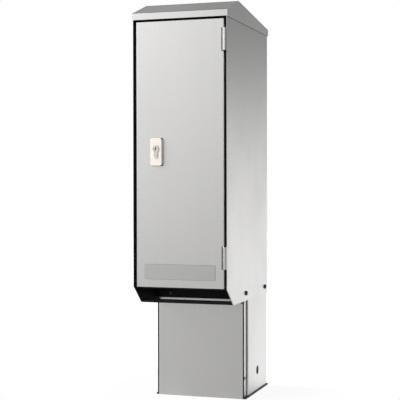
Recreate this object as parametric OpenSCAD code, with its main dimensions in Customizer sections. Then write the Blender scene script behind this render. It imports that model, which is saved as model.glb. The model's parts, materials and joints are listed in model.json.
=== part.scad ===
// Free-standing roadside power cabinet of folded stainless sheet, on a set-back plinth.
// X runs to the right, Y to the back and Z up. The front faces -Y.
// The origin is on the ground, in the middle of the four anchor holes.
// Inside the modules, Y is measured back from the front edges of the side panels.

/* [Cabinet] */
// Width over the side panels
cabinet_w = 250; // [236:1:320]
// Depth from the front edges of the side panels to the back panel
cabinet_d = 395; // [370:1:480]
// Thickness of the folded sheet
sheet_t = 2; // [1.5:0.1:2.5]
// Outer radius of the sheets' folds
fold_r = 3; // [2.5:0.1:5]
// Depth of the slanted cable outlet below the door
outlet_d = 57; // [40:1:80]
// Height of the slanted cable outlet below the door
outlet_h = 46; // [40:1:70]
// Diameter of the rounded trim along the outlet's lower edge
lip_d = 9; // [6:0.5:12]
// Height of that trim
lip_h = 10; // [8:0.5:16]
// Distance of the front body screws from the front
front_screw_y = 172; // [168:1:200]
// Distance of the rear body screws from the back
rear_screw_inset = 30; // [20:1:80]
// Height of the body screws above the cabinet's lower edge
body_screw_rise = 20; // [12:1:26]
// Thread diameter of the body screws
body_screw_d = 6; // [5:0.5:8]

/* [Hood] */
// Height of the fascia and skirt
fascia_h = 17.5; // [14:0.5:30]
// Distance of the ridge from the front
ridge_setback = 98; // [60:1:200]
// Height of the ridge above the eaves
ridge_rise = 34.5; // [15:0.5:60]
// Overhang of the hood all round
hood_overhang = 2; // [1.9:0.1:6]
// Thickness of the hood's sheet
hood_t = 1.5; // [1:0.1:1.8]
// Diameter of the studs that hold the hood
hood_stud_d = 6; // [5:0.5:8]

/* [Door] */
// Height of the door
door_h = 674; // [600:1:760]
// Depth of the door's folded edges
door_depth = 18; // [16:0.5:24]
// Gap between the door and each side panel
side_gap = 5.5; // [5:0.1:8]
// Gap between the door and the fascia
top_gap = 6; // [4:0.5:10]
// Length of a hinge
hinge_l = 56; // [40:1:80]
// Diameter of a hinge knuckle
hinge_d = 10.5; // [9.5:0.1:12]
// Diameter of a hinge pin
hinge_pin_d = 6; // [4:0.5:6]
// Middle of the upper hinge below the door's top
upper_hinge_drop = 52; // [40:1:100]
// Middle of the lower hinge above the door's bottom
lower_hinge_rise = 77; // [50:1:120]
// Width of the blank label plate
label_w = 188; // [100:1:200]
// Height of the blank label plate
label_h = 38; // [20:1:50]
// Thickness of the blank label plate
label_t = 0.8; // [0.5:0.1:1.5]
// Middle of the label plate above the door's bottom
label_rise = 39; // [30:1:80]
// Thickness of the seal behind the door's edge
seal_t = 5.7; // [4:0.1:8]

/* [Lock] */
// Distance of the lock from the door's left edge
lock_inset = 57.5; // [52:0.5:90]
// Height of the lock plug above the door's bottom
lock_rise = 352; // [280:1:400]
// Width of the escutcheon
escutcheon_w = 30; // [28:1:40]
// Height of the escutcheon
escutcheon_h = 70; // [66:1:90]
// Thickness of the escutcheon
escutcheon_t = 10; // [6:0.5:14]
// Diameter of the round part of the lock cylinder
cylinder_d = 17; // [16:0.5:18]
// Height of the lock cylinder's profile
cylinder_h = 33; // [30:0.5:34]
// Width of the lock cylinder's tail
tail_w = 10; // [8:0.5:12]
// Diameter of the turning lock plug
lock_plug_d = 12.5; // [10:0.5:13.5]
// Radius of the crank pins on the lock wheel
crank_r = 14; // [13:0.1:15]
// Width of a locking rod
rod_w = 12; // [10:0.5:14]
// Thickness of a locking rod
rod_t = 4; // [3:0.5:5]

/* [Plinth] */
// Distance of the plinth's front cover from the cabinet's front
plinth_setback = 165; // [150:1:200]
// Height of the plinth's front cover
cover_h = 263; // [205:1:325]
// Height of the cover's lower edge above the ground, in front of the base plate
cover_clear = 1; // [0.5:0.5:2.5]
// Height of the cover's top above the cabinet's lower edge
cover_lap = 3; // [1:0.5:6]
// Height of the plinth's walls above the cabinet's lower edge, inside the cabinet
plinth_lap = 35; // [30:1:40]
// Distance of the front cover from each side of the cabinet
cover_inset = 6; // [5:0.5:12]
// Depth of the cover's side flanges
cover_flange = 33; // [25:1:50]
// Height of the cover screws above the base plate
cover_screw_rise = 49; // [30:1:200]
// Diameter of the round side holes
side_hole_d = 24; // [16:0.1:40]
// Distance of the side holes from the front
side_hole_y = 294; // [240:1:340]
// Height of the side holes above the base plate
side_hole_rise = 54; // [30:1:200]
// Depth of the collars drawn inward around the side holes
collar_l = 6; // [4:0.5:12]
// Thickness of the base plate
base_t = 4; // [3:0.5:12]
// Margin of the base plate past each side of the cabinet
base_margin = 1; // [0:0.5:30]
// Depth of the base plate
base_d = 228; // [226:1:300]
// Distance of the anchor holes from the sides of the base plate
anchor_inset = 31; // [28:1:40]
// Distance between the anchor holes along the depth
anchor_y = 160; // [130:1:166]
// Diameter of the anchor holes
anchor_d = 14; // [10:0.5:18]
// Width of the cable hole in the base plate
cable_hole_w = 130; // [60:1:150]
// Depth of the cable hole in the base plate
cable_hole_d = 100; // [60:1:110]

/* [Sockets and breakers] */
// Thickness of the inner panel
panel_t = 3; // [2:0.5:5]
// Middle of the round sockets above the cabinet's lower edge
round_socket_rise = 460; // [430:1:480]
// Half the distance between the round sockets
round_socket_x = 52; // [45:1:60]
// Diameter of a round socket's collar
round_collar_d = 62; // [54:1:66]
// Reach of a round socket in front of its flange
round_reach = 30; // [20:1:40]
// Middle of the square sockets above the cabinet's lower edge
square_socket_rise = 340; // [300:1:360]
// Half the distance between the square sockets
square_socket_x = 45; // [38:1:60]
// Side of a square socket's flange
square_flange = 50; // [46:1:56]
// Diameter of a square socket's recess
square_recess_d = 39; // [36:0.5:39]
// Middle of the breakers above the cabinet's lower edge
breaker_rise = 610; // [580:1:630]
// Width of one breaker module
module_w = 18; // [17:0.5:20]
// Height of the breaker window
window_h = 84; // [76:1:96]
// Width of the breaker window
window_w = 146; // [130:1:160]
// Thickness of the socket lids and the breaker window
lid_t = 6; // [5:0.5:8]
// Diameter of the lids' hinge pins
lid_pin_d = 3; // [2:0.5:4]

/* [Hidden] */
$fn = 48;
// Running clearance on the radius of a pin, and clearances between pieces that move apart
run = 0.05;
slip = 0.3;
rod_slip = 0.4;
// Cuts reach this far past a face
over = 1;
// Small steps between pieces of the lock, and between the panel and its neighbours
step = 1;
// Free height between the shell's top and the hood's eaves
hood_stand = 6;

// Heights, from the ground up
cover_z1 = cover_clear + cover_h;
cabinet_z0 = cover_z1 - cover_lap;
plinth_z1 = cabinet_z0 + plinth_lap;
door_z0 = cabinet_z0 + outlet_h;
door_z1 = door_z0 + door_h;
fascia_z0 = door_z1 + top_gap;
eave_z = fascia_z0 + fascia_h;
ridge_z = eave_z + ridge_rise;
shell_z1 = eave_z - hood_t - hood_stand;
body_screw_z = cabinet_z0 + body_screw_rise;
side_hole_z = base_t + side_hole_rise;

// Widths, from the middle out
shell_x = cabinet_w / 2;
inner_x = shell_x - sheet_t;
door_x = inner_x - side_gap;
plinth_in_x = inner_x - sheet_t;
cover_x = shell_x - cover_inset;
base_x = shell_x + base_margin;
anchor_x = base_x - anchor_inset;

// Depths, from the front back
base_y0 = plinth_setback + fold_r + step;
front_y = -(base_y0 + base_d / 2);
shell_in_y = cabinet_d - sheet_t;
seal_y0 = door_depth + slip;
frame_y0 = seal_y0 + seal_t;
frame_y1 = frame_y0 + sheet_t;
rod_y0 = frame_y1 + 2 * step;
rod_y1 = rod_y0 + rod_t;
wheel_t = 4;
wheel_y0 = rod_y1 + step;
wheel_y1 = wheel_y0 + wheel_t;
case_t = 1.5;
case_y0 = wheel_y1 + step;
case_y1 = case_y0 + case_t;
panel_y0 = plinth_setback + sheet_t;
panel_y1 = panel_y0 + panel_t;
jog_y = plinth_setback + cover_flange + over;
turn_y = jog_y + 2 * fold_r + step;
rear_screw_y = cabinet_d - rear_screw_inset;

// Door frame
frame_lap = 5;
frame_z0 = door_z0 - frame_lap;
frame_z1 = shell_z1 - sheet_t;
frame_border = 15;
frame_return = 20;
seal_border = 8;

// Hinges
hinge_x = (door_x + inner_x) / 2;
hinge_clear = 0.35;
hinge_y = -(hinge_d / 2 + hinge_clear);
leaf_t = 2;
leaf_back = door_depth - 1;
washer_t = 1;
hinge_pin_short = 2;
hinge_zs = [door_z0 + lower_hinge_rise, door_z1 - upper_hinge_drop];

label_r = 2;

// Lock
lock_x = -door_x + lock_inset;
lock_z = door_z0 + lock_rise;
escutcheon_drop = 8.5;
escutcheon_z = lock_z - escutcheon_drop;
escutcheon_r = 6;
escutcheon_screw_gap = 56;
cylinder_proud = 2;
cylinder_y0 = -escutcheon_t - cylinder_proud;
cylinder_y1 = rod_y0 - 2 * step;
crank_pin_d = 4;
crank_slip = 0.6;
crank_rest = crank_r * cos(45);
lock_shaft_d = 8;
wheel_d = 2 * (crank_r + crank_pin_d + 2);
foot_in = lock_shaft_d / 2 + 1;
foot_out = crank_r + crank_pin_d / 2 + 3;
foot_reach = crank_rest + crank_pin_d / 2 + 4;
foot_bridge = [foot_reach + 4, foot_reach + 14];
case_x = max(foot_out, wheel_d / 2) + 2;
case_z = wheel_d / 2 + 14;
case_foot = 12;
rod_end_gap = 2;
guide_t = 2;
guide_h = 15;
guide_far = 60;
guide_near = 90;
keeper_x = rod_w / 2 + 2;
keeper_h = 20;
keeper_gap = 1;

// Inner panel and what it carries
panel_gap = 8;
panel_drop = 24;
panel_x = inner_x - panel_gap;
panel_z0 = cover_z1 + step;
panel_z1 = door_z1 - panel_drop;
panel_rail_w = 20;
panel_screw_d = 5;
panel_screw_inset = 6;
panel_screw_end = 30;
panel_low_screw_inset = 31;
panel_low_screw_rise = 12;
panel_screw_x = panel_x - panel_screw_inset;
panel_low_screw_x = panel_x - panel_low_screw_inset;
panel_low_screw_z = panel_z0 + panel_low_screw_rise;
gland_flange_x = panel_x - 2 * panel_screw_d;
gland_x = -45;
gland_setback = 115;
gland_y = panel_y1 + gland_setback;
gland_d = 32;
gland_bore_d = 20;
gland_hex_r = gland_d / 2 + 6;
gland_hex_h = 8;
gland_nut_h = 6;
gland_cap_h = 14;
gland_thread = 12;

// Sockets
round_z = cabinet_z0 + round_socket_rise;
round_margin = 7;
round_lid_margin = 2;
round_flange = round_collar_d + 2 * round_margin;
round_flange_t = 6;
round_face_y = panel_y0 - round_flange_t - round_reach;
round_wall = 5;
round_recess_d = round_collar_d - 2 * round_wall;
round_half = round_collar_d / 2 + round_lid_margin;
square_z = cabinet_z0 + square_socket_rise;
square_flange_t = 10;
square_face_y = panel_y0 - square_flange_t;
square_half = square_flange / 2;
socket_wall = 2.5;
socket_back = 30;
flange_r = 4;
contact_d = 6;

// Lids
lid_drop = 5;
lid_ear_in = 5;
lid_ear_t = 3;
lid_barrel_r = 4;
lid_ear_foot = 6;

// Breakers
breaker_z = cabinet_z0 + breaker_rise;
breaker_y0 = panel_y1 + 2;
nose_h = 45;
nose_d = 18;
breaker_h = 85;
breaker_d = 50;
breaker_back_y = breaker_y0 + nose_d + breaker_d;
bezel_margin = 4;
bezel_w = window_w + 2 * bezel_margin;
bezel_h = window_h + bezel_margin;
bezel_t = 8;
bezel_spare = 20;
bezel_open_w = 4 * module_w + 2 * bezel_spare;
bezel_open_h = nose_h + 13;
window_y = panel_y0 - bezel_t;
window_half = window_h / 2;
window_ear_x = window_w / 2 - 24;
rail_inset = 35;
rail_half = panel_x - rail_inset;
rail_h = 35;
rail_d = 7.5;
bracket_h = 40;
bracket_foot = 14;
toggle_y = breaker_y0 + 5;
toggle_d = 12;
toggle_reach = 14;
toggle_tilt = 30;
toggle_axle_d = 3;
button_d = 6;
button_x = -module_w * 1.65;
button_z = breaker_z - 15;
button_proud = 2.5;
button_l = 6;

// Shared shapes
module placed() { translate([0, front_y, 0]) children(); }

module both_sides() {
  children();
  mirror([1, 0, 0]) children();
}

// A block between two corners
module block(low, high) { translate(low) cube(high - low); }

// A round bar along X, Y or Z that starts at a point
module bar_x(d, at, l) { translate(at) rotate([0, 90, 0]) cylinder(d = d, h = l); }
module bar_y(d, at, l) { translate(at) rotate([-90, 0, 0]) cylinder(d = d, h = l); }
module bar_z(d, at, l) { translate(at) cylinder(d = d, h = l); }

// An outline drawn in X and Z, pushed back from y0 to y1
module pushed(y0, y1) { translate([0, y1, 0]) rotate([90, 0, 0]) linear_extrude(y1 - y0) children(); }

// An outline drawn in Y and Z, spread from x0 to x1
module spread(x0, x1) {
  translate([x0, 0, 0]) rotate([90, 0, 90]) linear_extrude(x1 - x0) children();
}

// A plan outline between two depths, with its two rear corners rounded
module rear_rounded(x, y0, y1, r) {
  translate([-x, y0]) square([2 * x, y1 - r - y0]);
  translate([-x + r, y0]) square([2 * (x - r), y1 - y0]);
  for (s = [-1, 1]) translate([s * (x - r), y1 - r]) circle(r);
}

// A sheet folded to a U that is open to the front, seen from above
module rear_folded(x, y0, y1) {
  difference() {
    rear_rounded(x, y0, y1, fold_r);
    rear_rounded(x - sheet_t, y0 - over, y1 - sheet_t, fold_r - sheet_t);
  }
}

// The same with the open side to the back
module front_folded(x, y0, y1) { translate([0, y0 + y1]) mirror([0, 1]) rear_folded(x, y0, y1); }

module rounded(w, h, r) {
  square([w - 2 * r, h], center = true);
  square([w, h - 2 * r], center = true);
  for (x = [-1, 1], z = [-1, 1]) translate([x * (w / 2 - r), z * (h / 2 - r)]) circle(r);
}

// Base and plinth
module base_plate() {
  color("dimgray") placed() difference() {
    block([-base_x, base_y0, 0], [base_x, base_y0 + base_d, base_t]);
    translate([0, base_y0 + base_d / 2, 0]) {
      block([-cable_hole_w / 2, -cable_hole_d / 2, -over],
        [cable_hole_w / 2, cable_hole_d / 2, base_t + over]);
      for (x = [-1, 1], y = [-1, 1])
        bar_z(anchor_d, [x * anchor_x, y * anchor_y / 2, -over], base_t + 2 * over);
    }
  }
}

// The plinth's walls seen from above: they turn in behind the cover and run on inside its flanges
module plinth_plan() {
  inside = cover_x - 2 * sheet_t;
  rear_folded(inner_x, turn_y, shell_in_y);
  difference() {
    front_folded(inner_x, jog_y, turn_y + over);
    translate([-inside, jog_y - over]) square([2 * inside, fold_r + over]);
  }
  for (x = [-inside - sheet_t, inside]) translate([x, base_y0]) square([sheet_t, jog_y + sheet_t - base_y0]);
}

module plinth_shell() {
  color("silver") placed() difference() {
    union() {
      translate([0, 0, base_t]) linear_extrude(cover_z1 - sheet_t - base_t) plinth_plan();
      translate([0, 0, cover_z1 - sheet_t]) linear_extrude(plinth_z1 - cover_z1 + sheet_t)
        rear_folded(inner_x, turn_y, shell_in_y);
      both_sides() {
        block([plinth_in_x, panel_y0, cover_z1], [inner_x, turn_y + over, plinth_z1]);
        bar_x(side_hole_d + 2 * sheet_t, [inner_x - collar_l, side_hole_y, side_hole_z], collar_l);
      }
    }
    bar_x(side_hole_d, [-shell_x, side_hole_y, side_hole_z], cabinet_w);
    for (y = [front_screw_y, rear_screw_y]) bar_x(body_screw_d, [-shell_x, y, body_screw_z], cabinet_w);
    cover_screw_hole();
  }
}

cover_screw_y = plinth_setback + 16;
cover_screw_d = 5;
module cover_screw_hole() {
  bar_x(cover_screw_d, [-shell_x, cover_screw_y, base_t + cover_screw_rise], cabinet_w);
}

module plinth_cover() {
  flange_y = plinth_setback + cover_flange;
  color("darkgray") placed() difference() {
    union() {
      translate([0, 0, base_t]) linear_extrude(cover_z1 - base_t)
        front_folded(cover_x, plinth_setback, flange_y);
      translate([0, 0, cover_clear]) linear_extrude(base_t) intersection() {
        front_folded(cover_x, plinth_setback, flange_y);
        translate([-cover_x, plinth_setback]) square([2 * cover_x, base_y0 - plinth_setback]);
      }
      block([-cover_x + sheet_t, plinth_setback + sheet_t / 2, cover_z1 - sheet_t],
        [cover_x - sheet_t, flange_y, cover_z1]);
    }
    cover_screw_hole();
  }
}

// A pan-head screw that points along +Z, with its head's underside at z = 0
module pan_screw(d, head_d, head_h, l) {
  rotate_extrude() polygon([
    [0, -l], [d / 2, -l], [d / 2, 0], [head_d / 2, 0], [head_d / 2, head_h * 0.5],
    [head_d * 0.42, head_h * 0.85], [head_d * 0.3, head_h], [0, head_h]
  ]);
}

module cover_screws() {
  color("gray") placed() both_sides()
    translate([cover_x, cover_screw_y, base_t + cover_screw_rise]) rotate([0, 90, 0])
      pan_screw(cover_screw_d, 9, 2.6, 2 * sheet_t + 4);
}

plug_flange = 3;
plug_boss = 1;
// Plugs pushed into the collars of the side holes from inside
module side_plugs() {
  r = side_hole_d / 2;
  color("darkslategray") placed() both_sides()
    translate([inner_x - collar_l, side_hole_y, side_hole_z]) rotate([0, 90, 0]) rotate_extrude()
      polygon([
        [0, -sheet_t], [r + plug_flange, -sheet_t], [r + plug_flange, 0], [r, 0],
        [r, plug_boss], [0, plug_boss]
      ]);
}

// Cabinet body
// The corner cut away below the door, seen from the side
module outlet_cut() {
  slope = outlet_h / outlet_d;
  low = cabinet_z0 - over * slope;
  polygon([[-over, door_z0 + over * slope], [outlet_d + over, low], [-over, low]]);
}

hood_flange_w = 25;
hood_flange_y = 30;
hood_stud_x = inner_x - 14;
hood_stud_ys = [60, cabinet_d - 60];

module cabinet_shell() {
  color("lightgray") placed() difference() {
    union() {
      translate([0, 0, cabinet_z0]) linear_extrude(shell_z1 - cabinet_z0) rear_folded(shell_x, 0, cabinet_d);
      both_sides()
        block([inner_x - hood_flange_w, hood_flange_y, shell_z1 - sheet_t],
          [inner_x + over, shell_in_y + over, shell_z1]);
    }
    spread(-shell_x - over, shell_x + over) outlet_cut();
    for (y = [front_screw_y, rear_screw_y])
      bar_x(body_screw_d, [-shell_x - over, y, body_screw_z], cabinet_w + 2 * over);
    for (x = [-1, 1], y = hood_stud_ys)
      bar_z(hood_stud_d, [x * hood_stud_x, y, shell_z1 - sheet_t - over], sheet_t + 2 * over);
  }
}

nut_h = 5;
nut_wall = 2.75;
// A hexagon nut that stands on z = 0
module nut(bore_d) {
  difference() {
    cylinder(d = bore_d + 2 * nut_wall, h = nut_h, $fn = 6);
    bar_z(bore_d, [0, 0, -over], nut_h + 2 * over);
  }
}

module body_screws() {
  color("dimgray") placed() both_sides() for (y = [front_screw_y, rear_screw_y])
    translate([shell_x, y, body_screw_z]) rotate([0, 90, 0])
      pan_screw(body_screw_d, 2 * body_screw_d + 0.5, 4, 2 * sheet_t + nut_h + 1);
}

module body_nut_place(y) { translate([plinth_in_x - nut_h, y, body_screw_z]) rotate([0, 90, 0]) children(); }

module body_nuts() {
  color("dimgray") placed() both_sides() for (y = [front_screw_y, rear_screw_y])
    body_nut_place(y) nut(body_screw_d);
}

module hood_outline(inset, z0) {
  front = -hood_overhang + inset;
  back = cabinet_d + hood_overhang - inset;
  polygon([
    [front, z0], [front, eave_z - inset], [ridge_setback, ridge_z - inset], [back, eave_z - inset], [back, z0]
  ]);
}

module roof_hood() {
  hood_x = shell_x + hood_overhang;
  color("lightgray") placed() {
    difference() {
      spread(-hood_x, hood_x) hood_outline(0, fascia_z0);
      spread(-hood_x + hood_t, hood_x - hood_t) hood_outline(hood_t, fascia_z0 - over);
    }
    // Spacers cut to the slope of the roof, with a stud below each
    for (x = [-1, 1], y = hood_stud_ys) {
      intersection() {
        bar_z(hood_stud_d * 2, [x * hood_stud_x, y, shell_z1], ridge_z - shell_z1);
        spread(-hood_x, hood_x) hood_outline(hood_t / 2, fascia_z0);
      }
      bar_z(hood_stud_d, [x * hood_stud_x, y, shell_z1 - sheet_t - nut_h - 2], sheet_t + nut_h + 4);
    }
  }
}

module hood_nuts() {
  color("gray") placed() for (x = [-1, 1], y = hood_stud_ys)
    translate([x * hood_stud_x, y, shell_z1 - sheet_t - nut_h]) nut(hood_stud_d);
}

// Cable outlet
lip_core_t = 3;
lip_y = outlet_d + 1;
module lip_core() {
  translate([lip_y - lip_core_t / 2, cabinet_z0 + 0.5]) square([lip_core_t, lip_h - lip_d / 2]);
}

module outlet_bar() { color("gray") placed() spread(-inner_x, inner_x) lip_core(); }

module outlet_trim() {
  color("black") placed() spread(-inner_x, inner_x) difference() {
    union() {
      translate([lip_y, cabinet_z0 + lip_h - lip_d / 2]) circle(d = lip_d);
      translate([lip_y - lip_d / 2, cabinet_z0 + 0.5]) square([lip_d, lip_h - lip_d / 2 - 0.5]);
    }
    lip_core();
  }
}

// A black sheet that lines the outlet: a back on the inner panel and a cheek on each side panel
lining_t = 1.5;
lining_z1 = frame_z0 - step;
lining_lip_y = lip_y + lip_d / 2 + step;
lining_lip_z = cabinet_z0 + lip_h + step;
function lining_edge(z) = (door_z0 - z) * outlet_d / outlet_h + 2 * step;
module outlet_lining() {
  low = cabinet_z0 + step;
  color("black") placed() difference() {
    union() {
      both_sides() spread(inner_x - lining_t, inner_x) polygon([
        [lining_edge(lining_z1), lining_z1], [lining_edge(lining_lip_z), lining_lip_z],
        [lining_lip_y, lining_lip_z], [lining_lip_y, low], [panel_y0, low], [panel_y0, lining_z1]
      ]);
      block([-inner_x, panel_y0 - lining_t, panel_z0], [inner_x, panel_y0, lining_z1]);
    }
    panel_screw_holes();
    both_sides() body_nut_place(front_screw_y) cylinder(d = body_screw_d + 2 * nut_wall, h = nut_h, $fn = 6);
  }
}

// Door opening
module door_frame() {
  color("black") placed() {
    difference() {
      block([-inner_x, frame_y0, frame_z0], [inner_x, frame_y1, frame_z1]);
      block([-door_x + frame_border, frame_y0 - over, door_z0 + frame_border],
        [door_x - frame_border, frame_y1 + over, door_z1 - frame_border]);
    }
    both_sides()
      block([plinth_in_x, frame_y0, frame_z0], [inner_x, frame_y1 + frame_return, frame_z1]);
  }
}

module door_seal() {
  color("black") placed() difference() {
    block([-inner_x, seal_y0, frame_z0], [inner_x, frame_y0, frame_z1]);
    block([-door_x + seal_border, seal_y0 - over, door_z0 + seal_border],
      [door_x - seal_border, frame_y0 + over, door_z1 - seal_border]);
  }
}

module rod_keepers() {
  back = rod_y1 + keeper_gap;
  color("gray") placed() for (z = [door_z0 + frame_border - keeper_h, door_z1 - frame_border])
    translate([lock_x, 0, z]) linear_extrude(keeper_h) difference() {
      translate([-keeper_x - sheet_t, frame_y1])
        square([2 * (keeper_x + sheet_t), back + sheet_t - frame_y1]);
      translate([-keeper_x, frame_y1 - over]) square([2 * keeper_x, back + over - frame_y1]);
    }
}

// Hinges: the lower half of each belongs to the body, the upper half to the door
module hinge_half(z0, l, leaf_x, bore_d) {
  difference() {
    union() {
      bar_z(hinge_d, [hinge_x, hinge_y, z0], l);
      block([leaf_x, hinge_y, z0], [leaf_x + leaf_t, leaf_back, z0 + l]);
    }
    bar_z(bore_d, [hinge_x, hinge_y, z0 - over], l + 2 * over);
  }
}

hinge_half_l = (hinge_l - washer_t - slip) / 2;
module hinge_body_leaves() {
  color("gainsboro") placed() for (z = hinge_zs)
    hinge_half(z - hinge_l / 2, hinge_half_l, inner_x - leaf_t, hinge_pin_d);
}

module hinge_washers() {
  color("gainsboro") placed() for (z = hinge_zs) difference() {
    bar_z(hinge_d, [hinge_x, hinge_y, z - hinge_l / 2 + hinge_half_l], washer_t);
    bar_z(hinge_pin_d, [hinge_x, hinge_y, z - hinge_l / 2 + hinge_half_l - over], washer_t + 2 * over);
  }
}

module hinge_pins() {
  color("gray") placed() for (z = hinge_zs)
    bar_z(hinge_pin_d, [hinge_x, hinge_y, z - hinge_l / 2], hinge_l - hinge_pin_short);
}

module hinge_door_leaves() {
  color("gainsboro") placed() for (z = hinge_zs)
    hinge_half(z + hinge_l / 2 - hinge_half_l, hinge_half_l, door_x, hinge_pin_d + 2 * run);
}

// Door
module cylinder_outline() {
  circle(d = cylinder_d);
  tail_z = cylinder_d / 2 - cylinder_h + tail_w / 2;
  translate([0, tail_z]) circle(d = tail_w);
  translate([-tail_w / 2, tail_z]) square([tail_w, -tail_z]);
}

module cylinder_hole(y0, y1) { translate([lock_x, 0, lock_z]) pushed(y0, y1) cylinder_outline(); }

module escutcheon_screw_places() {
  for (z = [-1, 1]) translate([lock_x, 0, escutcheon_z + z * escutcheon_screw_gap / 2]) children();
}

// The folded door seen from above, drawn in by some inset and past its rear edge
module door_plan(inset, past) {
  translate([0, door_depth + inset]) mirror([0, 1])
    rear_rounded(door_x - inset, inset - past, door_depth, fold_r - inset);
}

escutcheon_screw_d = 4;
module door_panel() {
  color("lightgray") placed() difference() {
    translate([0, 0, door_z0]) linear_extrude(door_h) door_plan(0, 0);
    translate([0, 0, door_z0 + sheet_t]) linear_extrude(door_h - 2 * sheet_t) door_plan(sheet_t, over);
    cylinder_hole(-over, sheet_t + over);
    escutcheon_screw_places() bar_y(escutcheon_screw_d, [0, -over, 0], sheet_t + 2 * over);
  }
}

stiffener_step = 97.5;
stiffener_x = lock_x + stiffener_step;
stiffener_w = 36;
stiffener_d = 14;
stiffener_flange = 12;
stiffener_inset = 30;
// A hat section seen from above: flanges on the door, two webs and a back
module hat(half, depth, flange, t) {
  difference() {
    union() {
      translate([-half - flange, 0]) square([2 * (half + flange), t]);
      translate([-half, 0]) square([2 * half, depth]);
    }
    translate([-half + t, -over]) square([2 * (half - t), depth - t + over]);
  }
}

module door_stiffener() {
  color("silver") placed() translate([stiffener_x, sheet_t, door_z0 + stiffener_inset])
    linear_extrude(door_h - 2 * stiffener_inset) hat(stiffener_w / 2, stiffener_d, stiffener_flange, case_t);
}

module escutcheon() {
  color("antiquewhite") placed() difference() {
    translate([lock_x, 0, escutcheon_z]) pushed(-escutcheon_t, 0)
      rounded(escutcheon_w, escutcheon_h, escutcheon_r);
    cylinder_hole(-escutcheon_t - over, over);
    escutcheon_screw_places() bar_y(escutcheon_screw_d, [0, -escutcheon_t / 2, 0], escutcheon_t);
  }
}

module escutcheon_screws() {
  color("gray") placed() escutcheon_screw_places() translate([0, sheet_t, 0]) rotate([-90, 0, 0])
    pan_screw(escutcheon_screw_d, 8, 2.4, sheet_t + escutcheon_t / 2);
}

module lock_cylinder() {
  color("silver") placed() difference() {
    cylinder_hole(cylinder_y0, cylinder_y1);
    bar_y(lock_plug_d + 2 * run, [lock_x, cylinder_y0 - over, lock_z], cylinder_y1 - cylinder_y0 + 2 * over);
  }
}

keyway_w = 2;
keyway_h = 8;
keyway_deep = 20;
module lock_plug() {
  color("silver") placed() difference() {
    union() {
      bar_y(lock_plug_d, [lock_x, cylinder_y0, lock_z], cylinder_y1 - cylinder_y0);
      bar_y(lock_shaft_d, [lock_x, cylinder_y1 - over, lock_z], case_y1 + 2 - cylinder_y1 + over);
    }
    block([lock_x - keyway_w / 2, cylinder_y0 - over, lock_z - keyway_h / 2],
      [lock_x + keyway_w / 2, cylinder_y0 + keyway_deep, lock_z + keyway_h / 2]);
  }
}

module lock_wheel() {
  color("silver") placed() difference() {
    union() {
      bar_y(wheel_d, [lock_x, wheel_y0, lock_z], wheel_t);
      for (s = [-1, 1]) translate([lock_x + s * crank_rest, 0, lock_z - s * crank_rest])
        bar_y(crank_pin_d, [0, rod_y0 - 1, 0], wheel_y0 - rod_y0 + 2);
    }
    bar_y(lock_shaft_d, [lock_x, wheel_y0 - over, lock_z], wheel_t + 2 * over);
  }
}

module lock_case() {
  color("gray") placed() difference() {
    translate([lock_x, sheet_t, lock_z - case_z]) linear_extrude(2 * case_z)
      hat(case_x + case_t, case_y1 - sheet_t, case_foot, case_t);
    bar_y(lock_shaft_d + 2 * run, [lock_x, case_y0 - over, lock_z], case_t + 2 * over);
  }
}

// A rod with its slotted foot beside the lock's shaft, up to its end at a height above the lock
module locking_rod(end) {
  difference() {
    union() {
      block([foot_in, rod_y0, -foot_reach], [foot_out, rod_y1, foot_bridge[1]]);
      block([-rod_w / 2, rod_y0, foot_bridge[0]], [foot_out, rod_y1, foot_bridge[1]]);
      block([-rod_w / 2, rod_y0, foot_bridge[0]], [rod_w / 2, rod_y1, end]);
    }
    slot = crank_pin_d / 2 + crank_slip;
    block([crank_rest - slot, rod_y0 - over, -crank_rest - slot],
      [crank_r + slot, rod_y1 + over, -crank_rest + slot]);
  }
}

module upper_rod() {
  color("silver") placed() translate([lock_x, 0, lock_z])
    locking_rod(door_z1 - frame_border - rod_end_gap - lock_z);
}

module lower_rod() {
  color("silver") placed() translate([lock_x, 0, lock_z]) rotate([0, 180, 0])
    locking_rod(lock_z - door_z0 - frame_border - rod_end_gap);
}

module rod_guides() {
  guide_x = rod_w / 2 + rod_slip;
  guide_y = rod_y1 + rod_slip;
  zs = [door_z0 + guide_far, lock_z - guide_near, lock_z + guide_near, door_z1 - guide_far];
  color("gray") placed() for (z = zs)
    translate([lock_x, 0, z - guide_h / 2]) linear_extrude(guide_h) difference() {
      translate([-guide_x - guide_t, sheet_t]) square([2 * (guide_x + guide_t), guide_y + guide_t - sheet_t]);
      translate([-guide_x, sheet_t - over]) square([2 * guide_x, guide_y - sheet_t + over]);
    }
}

module label_plate() {
  color("silver") placed() translate([0, 0, door_z0 + label_rise]) pushed(-label_t, 0)
    rounded(label_w, label_h, label_r);
}

// Inner panel and its carriers
module panel_rails() {
  rail_z0 = plinth_z1 + over;
  color("gray") placed() difference() {
    both_sides() {
      block([inner_x - panel_rail_w, panel_y1, rail_z0], [inner_x, panel_y1 + sheet_t, panel_z1]);
      block([plinth_in_x, panel_y1, rail_z0], [inner_x, panel_y1 + panel_rail_w, panel_z1]);
    }
    panel_screw_holes();
  }
}

panel_screw_low = plinth_z1 + panel_screw_end;
panel_screw_high = panel_z1 - panel_screw_end;
panel_screw_zs = [panel_screw_low, (panel_screw_low + panel_screw_high) / 2, panel_screw_high];
module panel_screw_places() {
  for (x = [-1, 1]) {
    translate([x * panel_low_screw_x, panel_y0 - lining_t, panel_low_screw_z]) children();
    for (z = panel_screw_zs) translate([x * panel_screw_x, panel_y0, z]) children();
  }
}

module panel_screw_holes() {
  panel_screw_places() bar_y(panel_screw_d, [0, -over, 0], panel_t + sheet_t + lining_t + 2 * over);
}

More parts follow.
